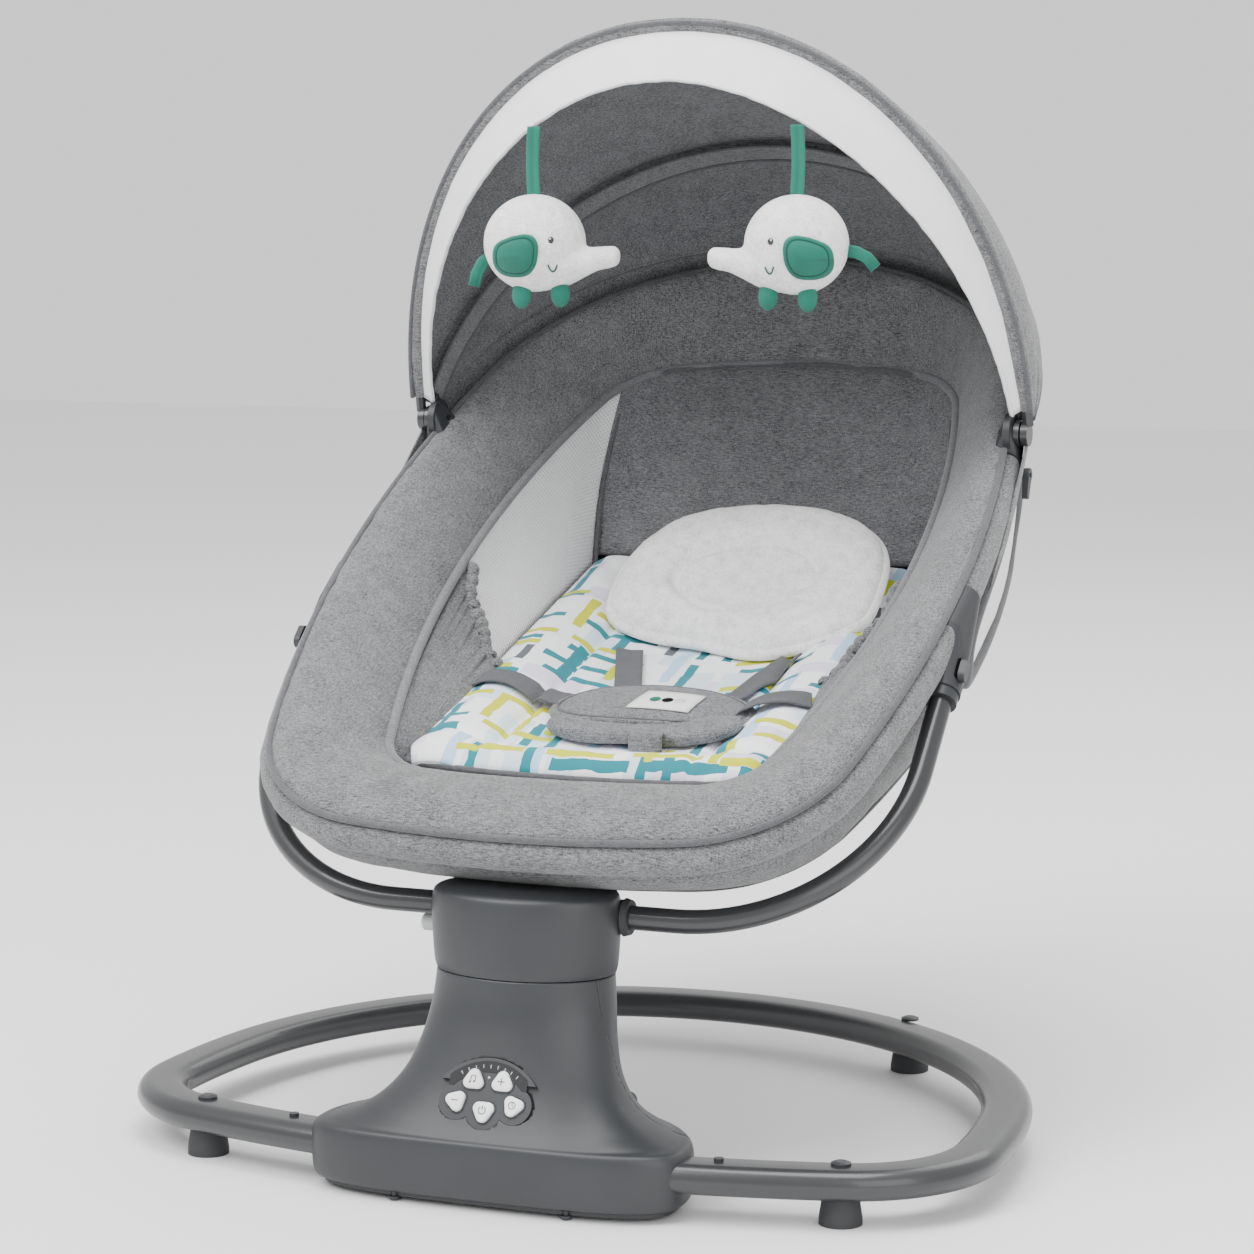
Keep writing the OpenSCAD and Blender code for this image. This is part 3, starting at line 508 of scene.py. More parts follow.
def print_strokes(s, vec, size, seed, share, half):
    """Mask of brush strokes: one box in some cells of a grid, its edges a little wavy."""
    mp = s.node("ShaderNodeMapping")
    mp.inputs["Scale"].default_value = (1 / size[0], 1 / size[1], 0)
    mp.inputs["Location"].default_value = (seed * 1.37, seed * 2.11, 0)
    s.link(vec, mp.inputs["Vector"])
    cell = s.node("ShaderNodeVectorMath", operation="FLOOR")
    s.link(mp.outputs["Vector"], cell.inputs[0])
    part = s.node("ShaderNodeVectorMath", operation="FRACTION")
    s.link(mp.outputs["Vector"], part.inputs[0])
    rnd = s.node("ShaderNodeTexWhiteNoise", noise_dimensions="3D")
    s.link(cell.outputs[0], rnd.inputs["Vector"])
    rgb = s.node("ShaderNodeSeparateXYZ")
    s.link(rnd.outputs["Color"], rgb.inputs[0])
    xy = s.node("ShaderNodeSeparateXYZ")
    s.link(part.outputs[0], xy.inputs[0])
    mask = s.math("LESS_THAN", rgb.outputs[0], share)
    for axis, wander in ((0, 1), (1, 2)):
        centre = s.math("ADD", 0.5, s.math("MULTIPLY", s.math("SUBTRACT", rgb.outputs[wander], 0.5), 0.16))
        away = s.math("ABSOLUTE", s.math("SUBTRACT", xy.outputs[axis], centre))
        mask = s.math("MULTIPLY", mask, s.math("LESS_THAN", away, half[axis]))
    return mask


def pad_print(name):
    """White knit printed with loose brush strokes in teal, lime, pale blue and lilac."""
    s = Shader(name, rough=0.8, sheen=0.15)
    flat = s.coords(rotation=(-PAD_TILT, 0, 0))
    wobble = s.node("ShaderNodeTexNoise")
    wobble.inputs["Scale"].default_value = 70
    s.link(flat, wobble.inputs["Vector"])
    push = s.node("ShaderNodeVectorMath", operation="MULTIPLY_ADD")
    s.link(wobble.outputs["Color"], push.inputs[0])
    push.inputs[1].default_value = (0.004, 0.004, 0)
    s.link(flat, push.inputs[2])
    vec = push.outputs[0]
    col = srgb(247, 249, 251)
    layers = [
        ((0.052, 0.024), 3, 0.42, (0.42, 0.38), srgb(226, 222, 240)),
        ((0.030, 0.060), 8, 0.32, (0.36, 0.42), srgb(214, 232, 244)),
        ((0.022, 0.070), 5, 0.22, (0.20, 0.40), srgb(178, 212, 238)),
        ((0.070, 0.021), 12, 0.36, (0.41, 0.17), srgb(0, 124, 136)),
        ((0.021, 0.066), 17, 0.30, (0.17, 0.41), srgb(0, 124, 136)),
        ((0.066, 0.024), 23, 0.26, (0.38, 0.15), srgb(200, 204, 0)),
        ((0.024, 0.060), 31, 0.18, (0.15, 0.38), srgb(200, 204, 0)),
        ((0.030, 0.034), 41, 0.10, (0.12, 0.40), srgb(84, 90, 98))]
    for size, seed, share, half, ink in layers:
        col = s.mix(print_strokes(s, vec, size, seed, share, half), col, ink)
    s.color(col)
    s.bump(s.noise(900), 0.25)
    return s.mat


FABRIC = heather("heather_grey", srgb(34, 35, 37), srgb(142, 143, 145))
FABRIC_DARK = heather("heather_lining", srgb(46, 47, 50), srgb(140, 141, 144))
FABRIC_QUILT = heather("heather_quilt", srgb(44, 45, 48), srgb(138, 139, 142))
PIPING = heather("piping_grey", srgb(62, 63, 66), srgb(98, 99, 102), depth=0.3)
RIBBON = heather("ribbon_grey", srgb(88, 89, 92), srgb(130, 131, 134), depth=0.2)
PLASTIC = plastic("plastic_grey", srgb(44, 46, 49), 0.42)
PLASTIC_DARK = plastic("plastic_dark", srgb(47, 49, 52), 0.45)
PAINT = painted("paint_grey", srgb(45, 46, 48))
RUBBER = plastic("rubber_dark", srgb(52, 53, 55), 0.75, grain=0.15)
WINDOW = plastic("window_black", srgb(30, 31, 33), 0.12, coat=0.5, grain=0.0)
KEY = plastic("key_white", srgb(240, 241, 242), 0.35, grain=0.02)
KNOB = plastic("knob_grey", srgb(205, 207, 208), 0.4)
NYLON = plastic("nylon_white", srgb(226, 222, 212), 0.5)
BOARD = plastic("board_green", srgb(40, 104, 66), 0.5)
RED = plastic("button_red", srgb(186, 48, 40), 0.3, coat=0.3)
STEEL = metal("steel_plain", srgb(190, 192, 196))
WOOD = plastic("board_panel", srgb(190, 170, 140), 0.7)
MESH = mesh_cloth("mesh_white")
VISOR = smooth_cloth("visor_white", srgb(250, 250, 251))
# The plush's second colour, srgb(214, 214, 213), is painted shade in the low places of the pile.
PLUSH = plush("plush_white", srgb(250, 250, 249), srgb(214, 214, 213))
WEB = webbing("webbing_grey", srgb(96, 98, 102))
PRINT = pad_print("pad_print")
TEAL = smooth_cloth("felt_teal", srgb(0, 116, 96), 0.8, weave=400, sheen=0.1)
TEAL_DARK = smooth_cloth("thread_teal", srgb(0, 70, 62), 0.8)
INK = plastic("ink_dark", srgb(46, 48, 52), 0.6)
EYE = plastic("eye_black", srgb(16, 16, 18), 0.15, coat=0.6, grain=0.0)
LABEL = smooth_cloth("label_white", srgb(240, 240, 238))
LIGHT_MARK = plastic("mark_pale", srgb(176, 180, 184), 0.5)


# ---------------------------------------------------------------- stage, light and camera
def stage():
    """Pale floor, white world and four area lights aimed at the middle of the swing."""
    bpy.ops.mesh.primitive_plane_add(size=1)
    floor = bpy.context.object
    floor.name = "floor"
    floor.scale = (14, 14, 1)
    s = Shader("floor_pale", rough=0.55)
    s.color(s.ramp(s.noise(3), [(0.2, srgb(240, 240, 240)), (0.8, srgb(244, 244, 244))]))
    floor.data.materials.append(s.mat)
    world_bg = bpy.data.worlds.new("studio")
    world_bg.use_nodes = True
    world_bg.node_tree.nodes["Background"].inputs["Color"].default_value = (1, 1, 1, 1)
    world_bg.node_tree.nodes["Background"].inputs["Strength"].default_value = 1.1
    bpy.context.scene.world = world_bg
    for name, at, size, power in (("key", (-1.4, -2.0, 2.9), 1.8, 100), ("fill", (2.2, -2.2, 1.6), 2.4, 40),
                                  ("rim", (0.6, 2.2, 2.4), 2.0, 28), ("top", (0, -0.2, 3.2), 1.8, 80)):
        lamp = bpy.data.lights.new(name, "AREA")
        lamp.energy, lamp.size = power, size
        ob = bpy.data.objects.new(name, lamp)
        bpy.context.scene.collection.objects.link(ob)
        ob.location = at
        ob.rotation_euler = (Vector((0, 0, 0.35)) - Vector(at)).to_track_quat("-Z", "Y").to_euler()


def camera():
    """The photo's view, fitted to the ring, column, rim and tubes."""
    azimuth, elevation, distance, lens = math.radians(21.215), math.radians(7.216), 2.428, 99.76
    back = Vector((math.sin(azimuth) * math.cos(elevation), -math.cos(azimuth) * math.cos(elevation),
                   math.sin(elevation)))
    target = Vector(world((0, 0, 345.9)))
    data = bpy.data.cameras.new("photo_view")
    data.lens, data.sensor_width = lens, 36
    cam = bpy.data.objects.new("photo_view", data)
    bpy.context.scene.collection.objects.link(cam)
    cam.location = target + back * distance
    cam.rotation_euler = (-back).to_track_quat("-Z", "Y").to_euler()
    bpy.context.scene.camera = cam


# ---------------------------------------------------------------- hard parts
def stadium(w, h, n):
    """Outline w wide and h high with round ends, n steps round each."""
    pts = []
    for s in (1, -1):
        for k in range(n + 1):
            t = math.radians(-90 + 180 * k / n)
            pts.append((s * ((w - h) / 2 + h / 2 * math.cos(t)), s * h / 2 * math.sin(t)))
    return pts


def base_ring():
    loop = resample(arc_outline(RING_Y, RING_ARCS, (12, 40, 8, 40)), 260)
    path = [(x, y, RING_Z) for x, y in loop]
    ring = tube("base_ring", path, 0, closed=True, section=stadium(*RING_SECTION, 14))
    finish_piece(ring, PAINT, "root", ("base_tube",))


# Housing sections: height, half width, centre y, front depth, back depth, squareness
COLUMN = [(6, 124, -227, 38, 84, 3.2), (12, 129, -227, 43, 90, 3.2), (40, 129, -227, 42, 88, 3.2),
          (46, 116, -226, 39, 85, 2.9), (53, 98, -223, 37, 82, 2.6), (63, 84, -217, 37, 76, 2.35),
          (78, 73, -207, 39, 66, 2.15), (98, 66.5, -196, 41, 55, 2.05), (120, 63, -187, 42, 47, 2),
          (141.7, 61, -183, 43, 43, 2)]
HEAD = [(142.3, 61.5, -183, 43, 44, 2), (150, 63, -183, 43.5, 46, 2.05), (175, 64.5, -183, 42.5, 48, 2.1),
        (190, 64, -183, 41, 47, 2.1), (195, 61, -183, 38, 44, 2.1), (197, 54, -183, 31, 37, 2.1)]


def power(c, e):
    """Signed power, for superellipses."""
    return math.copysign(abs(c) ** e, c)


def column_rings(rows, n=160):
    rings = []
    for z, a, yc, front, back, sq in rows:
        ring = []
        for t in turns(n):
            e = 2 / (sq if math.sin(t) < 0 else 2)
            depth = front if math.sin(t) < 0 else back
            ring.append((a * power(math.cos(t), e), yc + depth * power(math.sin(t), e), z))
        rings.append(ring)
    return rings


def bisect(ob, co, no, clear_outer):
    """Keeps one side of a plane (co in metres)."""
    bm = bmesh.new()
    bm.from_mesh(ob.data)
    geom = bm.verts[:] + bm.edges[:] + bm.faces[:]
    bmesh.ops.bisect_plane(bm, geom=geom, plane_co=co, plane_no=no,
                           clear_outer=clear_outer, clear_inner=not clear_outer)
    bm.to_mesh(ob.data)
    bm.free()


def boolean_cut(ob, cutter):
    mod = ob.modifiers.new("cut", "BOOLEAN")
    mod.operation, mod.solver, mod.object = "DIFFERENCE", "EXACT", cutter
    apply_modifiers(ob)
    bpy.data.objects.remove(cutter)


def cylinder(start, end, radius):
    return tube("cut", [start, end], radius, 48)


def shell(name, rows, split_y, front, closed_top):
    """One half of a housing: a smooth lofted skin with wall thickness, cut at the split plane."""
    rings = column_rings(rows)
    if closed_top:
        z, a, yc, f, b, sq = rows[-1]
        for share, rise in ((0.9, 0.9), (0.6, 1.3), (0.02, 1.4)):
            rings += column_rings([(z + rise, a * share, yc, f * share, b * share, sq)])
    ob = grid(name, rings, close_v=True)
    bisect(ob, world((0, split_y, 0)), (0, 1, 0), front)
    thicken(ob, 2.4, -1)
    return ob


PANEL_TILT, PANEL_AT = math.radians(64), (0, -250, 73)
ICON_TOP = 2.55


def panel(x, y, z):
    """A point of the tilted control panel (across, up the slope, outwards) in the design frame."""
    c, s = math.cos(PANEL_TILT), math.sin(PANEL_TILT)
    return np.array([x, PANEL_AT[1] + y * c - z * s, PANEL_AT[2] + y * s + z * c])


PANEL_UP = tuple(panel(0, 0, 1) - panel(0, 0, 0))
# Keys on the panel: across, up, corner radius, turn in degrees
KEYS = {"power": (0, -11, 4.2, 0), "music": (-10, 8.5, 4, 60), "plus": (10, 8.5, 4, 60),
        "minus": (-20, -6, 3.8, 18), "timer": (20, -6, 3.8, -18)}


def round_triangle(key, grow=0.0, n=16):
    """Outline of a key: three corners with round ends."""
    cx, cy, r, turn = key
    pts = []
    for k in range(3):
        a = math.radians(120 * k + turn + 30)
        mx, my = cx + 3.4 * math.cos(a), cy + 3.4 * math.sin(a)
        for j in range(n + 1):
            b = a + math.radians(-60 + 120 * j / n)
            pts.append((mx + (r + grow) * math.cos(b), my + (r + grow) * math.sin(b)))
    return pts


def panel_slab(name, outline, levels, material, body, nodes=()):
    """A domed slab on the panel: levels of (share of the outline, height)."""
    o = np.asarray(outline)
    c = o.mean(axis=0)
    rings = [[panel(*(c + (p - c) * share), h) for p in o] for share, h in levels]
    ob = grid(name, rings, close_v=True)
    cap_ends(ob, len(rings), len(o))
    return finish_piece(ob, material, body, nodes)


def panel_line(name, points, radius, z, material, body):
    line = tube(name, [panel(x, y, z) for x, y in points], radius, 8)
    return finish_piece(line, material, body)


def on_key(key, points):
    """Points on the panel from offsets to the middle of a key."""
    x, y = KEYS[key][:2]
    return [(x + dx, y + dy) for dx, dy in points]


def icon(key, part, points, radius=0.3):
    """A printed line on top of a key."""
    name = f"icon_{key}_{part}" if part else f"icon_{key}"
    panel_line(name, on_key(key, points), radius, ICON_TOP, INK, f"key_{key}")


def circle(r, angles, ry=None):
    return [(r * math.cos(a), (ry or r) * math.sin(a)) for a in angles]


def key_icons():
    icon("power", "ring", circle(2.4, np.radians(np.linspace(125, 415, 24))))
    icon("power", "bar", [(0, 0.4), (0, 2.9)])
    icon("plus", "across", [(-2.4, 0), (2.4, 0)])
    icon("plus", "up", [(0, -2.4), (0, 2.4)])
    icon("minus", "", [(-2.2, 0), (2.2, 0)])
    icon("music", "", [(-1.2, -1.8), (-1.2, 2.2), (1.8, 2.6), (1.8, -1.2)])
    for i, (dx, dy) in enumerate(((-1.8, -1.9), (1.2, -1.3))):
        head = on_key("music", [(dx + x, dy + y) for x, y in circle(0.7, turns(12), 0.55)])
        levels = [(1, ICON_TOP - 0.3), (1, ICON_TOP + 0.2)]
        panel_slab(f"icon_music_head_{i}", head, levels, INK, "key_music")
    icon("timer", "ring", circle(2.3, np.linspace(0, 2 * math.pi, 24)), 0.28)
    icon("timer", "hands", [(0, 1.6), (0, 0), (1.2, -0.6)], 0.28)


def control_panel():
    for name, key in KEYS.items():
        outline = round_triangle(key)
        levels = [(1, -4.5), (1, 0.9), (0.97, 1.5), (0.9, 2.0), (0.75, 2.35), (0.5, 2.5)]
        panel_slab(f"key_{name}", outline, levels, KEY, f"key_{name}", (f"button_{name}",))
        surround = [panel(x, y, -0.5) for x, y in round_triangle(key, 0.9)]
        binding(f"key_surround_{name}", surround, 0.45, 8, PLASTIC_DARK, "root", True,
                PANEL_UP)
    key_icons()
    for i in range(9):
        a = math.radians(122 - 8 * i)
        mark = [(r * math.cos(a), r * math.sin(a) - 18) for r in (35.0, 37.4)]
        panel_line(f"display_mark_{i}", mark, 0.35, -0.35, LIGHT_MARK, "root")
    led = [(x, 11 + y) for x, y in circle(0.9, turns(16))]
    panel_slab("power_led", led, [(1, -1), (1, -0.2), (0.6, 0.1)], LIGHT_MARK, "root")


def bezel_cutter():
    """Cutters for the bezel: a round hole at each key and a fan for the display window."""
    cutters = []
    for key in KEYS.values():
        cx, cy = key[:2]
        cutters.append(cylinder(panel(cx, cy, -20), panel(cx, cy, 20), 12.35))
    arc = []
    for r, order in ((42.2, 1), (19.8, -1)):
        for a in range(0, 61, 4)[::order]:
            t = math.radians(60 + a)
            arc.append((r * math.cos(t) * (1.45 if r < 30 else 1), r * math.sin(t) - 18))
    rings = [[panel(x, y, h) for x, y in arc] for h in (-20, 20)]
    fan = grid("cut", rings, close_v=True)
    cap_ends(fan, 2, len(arc))
    return cutters + [fan]


def housings():
    rows = [spline(COLUMN, t) for t in np.linspace(0, len(COLUMN) - 1, 90)]
    front = shell("pedestal_front", rows, -200.0, True, False)
    for cutter in bezel_cutter():
        boolean_cut(front, cutter)
    rear = shell("pedestal_rear", rows, -199.6, False, False)
    for ob, node in ((front, "pedestal_front_shell"), (rear, "pedestal_rear_shell")):
        finish_piece(ob, PLASTIC, "root", (node,))
    rows = [spline(HEAD, t) for t in np.linspace(0, len(HEAD) - 1, 50)]
    front = shell("head_front", rows, -170.0, True, True)
    rear = shell("head_rear", rows, -169.6, False, True)
    for ob, node in ((front, "head_front_shell"), (rear, "head_rear_shell")):
        boolean_cut(ob, cylinder((-90, -170, 178), (90, -170, 178), 11.4))
        boolean_cut(ob, cylinder((-90, -160, 162), (0, -160, 162), 6.4))
        finish_piece(ob, PLASTIC, "swing_head", (node,))


HARD_MATERIALS = {
    PAINT: ("carrying_tube", "seat_frame_tube", "canopy_mid_bow", "canopy_front_bow"),
    RUBBER: ("rubber_feet", "tube_grommets"),
    PLASTIC: ("pedestal_bottom_plate", "connector_left", "connector_right", "canopy_clip_left",
              "canopy_clip_right", "tube_fasteners", "housing_screws"),
    PLASTIC_DARK: ("control_bezel", "loudspeaker", "dc_socket", "tube_clamp", "release_button_left",
                   "release_button_right", "clip_lever_left", "clip_lever_right", "harness_buckle"),
    WINDOW: ("display_window",), BOARD: ("control_board",), STEEL: ("drive_motor", "swing_shaft"),
    NYLON: ("drive_pinion", "sector_gear", "swing_bearing"), KNOB: ("lock_knob",), WOOD: ("seat_board",),
    RED: ("buckle_button",)}


def dress_cad_nodes():
    for material, nodes in HARD_MATERIALS.items():
        for node in nodes:
            ob = frame["nodes"][node]
            if not ob.material_slots:
                ob.data.materials.append(material)
            for slot in ob.material_slots:
                slot.material = material


# ---------------------------------------------------------------- soft parts of the seat
FINE = 8  # mesh stations per design station round the rim
OUTER = np.array(arc_outline(0, SEAM_ARCS, [3 * FINE, 6 * FINE, 8 * FINE, 8 * FINE]))
INNER = np.array(arc_outline(85, INNER_ARCS, [3 * FINE, 5 * FINE, 9 * FINE, 5 * FINE, 3 * FINE]))
ROUND = len(OUTER)
HALF = ROUND // 2
# Section of the rim roll: share of the way from outer to inner edge, height
ROLL = [(0, 0), (0.1, 9), (0.3, 17), (0.55, 19), (0.8, 15), (0.97, 5), (1, -2), (0.85, -10), (0.6, -14),
        (0.35, -10), (0.15, -3)]


def bolster():
    """Padded roll round the opening, gathered along both of its seams."""
    roll = [spline(ROLL, k / 4, True) for k in range(4 * len(ROLL))]
    rings = []
    for k in range(ROUND):
        a, b = OUTER[k], INNER[k]
        wb = inner_w(b[1])
        ring = []
        for share, h in roll:
            x, v = a + (b - a) * share
            w = -4 + (wb + 4) * share
            near_seam = math.exp(-((share - 0.03) / 0.12) ** 2) + math.exp(-((share - 0.97) / 0.10) ** 2)
            gather = near_seam * (1.2 * jitter((x, v, 0), 9, 3) + 0.7 * jitter((x, v, 0), 4.5, 8))
            swell = 1.8 * jitter((x, v, 0), 70, 1) + 0.7 * jitter((x, v, w), 26, 5)
            up = max(0, h) / 19
            ring.append(rim(x, v, w + h + gather + swell * up))
        rings.append(ring[::-1])
    roll_ob = grid("rim_bolster_cover", rings, close_u=True, close_v=True)
    finish_piece(roll_ob, FABRIC, "seat", ("rim_bolster",))
    outer = [rim(x * 1.004, v + (v - 350) * 0.004, -2) for x, v in OUTER]
    binding("rim_outer_piping", outer, 2.4, 10, closed=True, up=RIM_UP)
    inner = [rim(x * 0.988, v, inner_w(v) + 0.5) for x, v in INNER]
    binding("rim_inner_piping", inner, 3.6, 12, RIBBON, closed=True, up=RIM_UP)


def offset_loop(loop, d):
    """Flat closed outline moved outwards by d."""
    t = np.roll(loop, -1, axis=0) - np.roll(loop, 1, axis=0)
    t /= np.linalg.norm(t, axis=1)[:, None]
    return loop + d * np.stack([t[:, 1], -t[:, 0]], axis=1)


def sleeve():
    """Fabric channel round the seat frame tube, fuller underneath."""
    rings = []
    for k in range(ROUND):
        t = OUTER[(k + 1) % ROUND] - OUTER[k - 1]
        t = t / np.linalg.norm(t)
        out = np.array([t[1], -t[0]])
        ring = []
        for a in turns(24):
            r = 10.0 + 0.5 * jitter((OUTER[k][0], OUTER[k][1], 20 * math.cos(a)), 18, 2)
            squash = 1.25 if math.sin(a) < 0 else 1.0
            xy = OUTER[k] + out * (r * math.cos(a) + 0.6)
            ring.append(rim(xy[0], xy[1], -FRAME_DROP + r * squash * math.sin(a)))
        rings.append(ring)
    ob = grid("frame_sleeve", rings, close_u=True, close_v=True)
    finish_piece(ob, FABRIC, "seat")


# Basket rows: share of the outline, share of the depth
BOWL = [(0.985, 0), (0.99, 0.3), (0.95, 0.6), (0.85, 0.85), (0.68, 0.97), (0.45, 1), (0.2, 1.0), (0.02, 1.0)]
BOWL_V, BOWL_TOP = 315.0, -23.0
DEPTH_V = [-30, 16, 47, 95, 470, 560, 640, 702]
DEPTH_W = [74, 78, 86, 92, 182, 176, 145, 110]


def bowl_point(k, share, sink, out=0.0):
    """Basket surface at station k; out moves it outwards."""
    x, v = OUTER[k % ROUND]
    v2 = BOWL_V + (v - BOWL_V) * share
    depth = float(np.interp(v2, DEPTH_V, DEPTH_W))
    return rim(x * share * (1 + out / 230), v2 + out * (v - BOWL_V) / 380,
               BOWL_TOP - (depth + BOWL_TOP) * sink - out * 0.4)


def bowl_row(f):
    """Share and sink at f of the way down the basket."""
    return spline(BOWL, f * (len(BOWL) - 1))


# Middle and half size of a mesh window, along the rim (mm) and down the basket (share)
WINDOW_V, WINDOW_F = (405.0, 120.0), (0.20, 0.11)


def in_window(k, f):
    """Whether the grid's cell after station k, f of the way down, is mesh."""
    v = (OUTER[k % ROUND][1] + OUTER[(k + 1) % ROUND][1]) / 2
    a = abs(v - WINDOW_V[0]) / WINDOW_V[1]
    b = abs(f - WINDOW_F[0]) / WINDOW_F[1]
    return a ** 4 + b ** 4 < 1


def split_window(ob, rows):
    """Cut the basket's grid into its cloth and its two mesh windows."""
    window = []
    for poly in ob.data.polygons:
        i, k = divmod(min(poly.vertices, key=lambda q: (q // ROUND, q % ROUND)), ROUND)
        window.append(in_window(k, (rows - 1.5 - i) / (rows - 1)))
    mesh_ob = ob.copy()
    mesh_ob.data = ob.data.copy()
    mesh_ob.name = "basket_side_mesh"
    bpy.context.scene.collection.objects.link(mesh_ob)
    for target, drop in ((ob, True), (mesh_ob, False)):
        bm = bmesh.new()
        bm.from_mesh(target.data)
        bm.faces.ensure_lookup_table()
        faces = [bm.faces[i] for i, w in enumerate(window) if w == drop]
        bmesh.ops.delete(bm, geom=faces, context="FACES")
        bm.to_mesh(target.data)
        bm.free()
    return mesh_ob


def window_binding(side):
    half = OUTER[: HALF + 1]
    pts = []
    for a in turns(120):
        v = WINDOW_V[0] + WINDOW_V[1] * power(math.cos(a), 0.5)
        f = WINDOW_F[0] + WINDOW_F[1] * power(math.sin(a), 0.5)
        station = float(np.interp(v, half[:, 1], np.arange(len(half))))
        k = int(station)
        near, far = (bowl_point(q, *bowl_row(f), 1.2) for q in (k, k + 1))
        p = near * (1 - station + k) + far * (station - k)
        pts.append((p[0] * (1, -1)[side], p[1], p[2]))
    binding(f"mesh_binding_{side}", pts, 4.2, 10, closed=True, up=(1, 0, 0))


def basket():
    """Fabric tub under the rim, creased at its sides, with a mesh window in each side."""
    rows = 100
    rings = []
    for i in range(rows):
        f = i / (rows - 1)
        share, sink = bowl_row(f)
        fade = math.sin(math.pi * min(1, f * 2 + 0.05))
        ring = []
        for k in range(ROUND):
            x, v = OUTER[k]
            crease = 1.6 * jitter((x, v, 60 * f), 60, 4) + 0.8 * jitter((x, v, 90 * f), 22, 9)
            pucker = 1.2 * math.exp(-(f / 0.06) ** 2) * jitter((x, v, 0), 8, 6)
            ring.append(bowl_point(k, share, sink, crease * (0.4 + 0.6 * abs(x) / 232) * fade + pucker))
        rings.append(ring)
    ob = grid("basket_fabric", rings[::-1], close_v=True)
    mesh_ob = split_window(ob, rows)
    cloth_area, mesh_area = (sum(p.area for p in x.data.polygons) for x in (ob, mesh_ob))
    thicken(ob, 1.6, -1)
    thicken(mesh_ob, 1.0, -1)
    ob.name = "basket_cover"
    finish_piece(ob, FABRIC, "seat", ("basket_shell",))
    finish_piece(mesh_ob, MESH, "seat")
    cloth(rings, cloth_area)
    for side in (0, 1):
        window_binding(side)
    belly = [bowl_point(k, *bowl_row(0.36), 0.8) for k in range(ROUND)]
    binding("belly_seam", belly, 1.6, closed=True)


# Fine half of the inner edge; the side wall spans stations WALL_A to WALL_B of it
HALF_IN = INNER[: HALF + 1]
WALL_A, WALL_B = 7 * FINE, 19 * FINE


def wall_point(f, j, side, out=0.0):
    """Point on a side wall: f from foot to head, j from the bolster down to the pad."""
    k = WALL_A + (WALL_B - WALL_A) * f
    i = min(int(k), len(HALF_IN) - 2)
    q = HALF_IN[i] + (HALF_IN[i + 1] - HALF_IN[i]) * (k - i)
    a = rim(q[0] + 1, q[1], inner_w(q[1]) - 3)
    b = pad(PAD_W / 2 + 4, 4 + (PAD_LEN - 8) * f, -8)
    p = a + (b - a) * j + np.array([2 + 6 * math.sin(math.pi * j) - out, 0, 0])
    return np.array([p[0] * side, p[1], p[2]])


def pocket_edge(j):
    """How far towards the head the pocket's free edge reaches at j."""
    return 0.45 - 0.06 * j


def pocket(side, word):
    """Gathered pocket on a side wall, with its elastic edge."""
    rows = []
    for i in range(71):
        share = i / 70
        row = []
        for j in range(31):
            t = j / 30
            f = -0.02 + (pocket_edge(t) + 0.02) * share
            ruffle = share ** 5 * (1.8 * math.sin(2 * math.pi * t * 11 + 2 * math.sin(share * 5))
                                   + 1.2 * math.sin(2 * math.pi * t * 23))
            sag = 7 * math.sin(math.pi * min(1, share)) * math.sin(math.pi * t) + 3.0 * share
            fold = 1.8 * jitter((share * 90, t * 40, side * 10), 16, 7)
            out = 4 + sag + ruffle + fold + 15 * t * share
            row.append(wall_point(max(f, -0.05), 0.04 + 0.92 * t, side, out))
        rows.append(row)
    pocket_ob = thicken(grid(f"pocket_cloth_{word}", rows if side < 0 else rows[::-1]), 1.6)
    finish_piece(pocket_ob, FABRIC, "seat", (f"pocket_{word}",))
    cloth(rows)
    path, radius = [], []
    for j in range(140):
        t = j / 139
        wave = 2 * math.pi * t * 13
        path.append(wall_point(pocket_edge(t) + 0.004 * math.cos(wave), 0.04 + 0.92 * t, side,
                               7.5 + 15 * t + 2.6 * math.sin(2 * math.pi * t * 11)))
        radius.append(4.0 + 1.5 * math.sin(wave))
    binding(f"pocket_elastic_{word}", path, radius, 14, FABRIC)


def side_walls():
    for side, word in ((1, "left"), (-1, "right")):
        g = [[wall_point(i / 60, j / 18, side) for j in range(19)] for i in range(61)]
        wall = thicken(grid(f"wall_mesh_{word}", g if side < 0 else g[::-1]), 1.2)
        finish_piece(wall, MESH, "seat", (f"mesh_wall_{word}",))
        cloth(g)
        pocket(side, word)
        binding(f"wall_seam_{word}", [wall_point(0.995, j / 20, side, 3) for j in range(21)], 2.0)


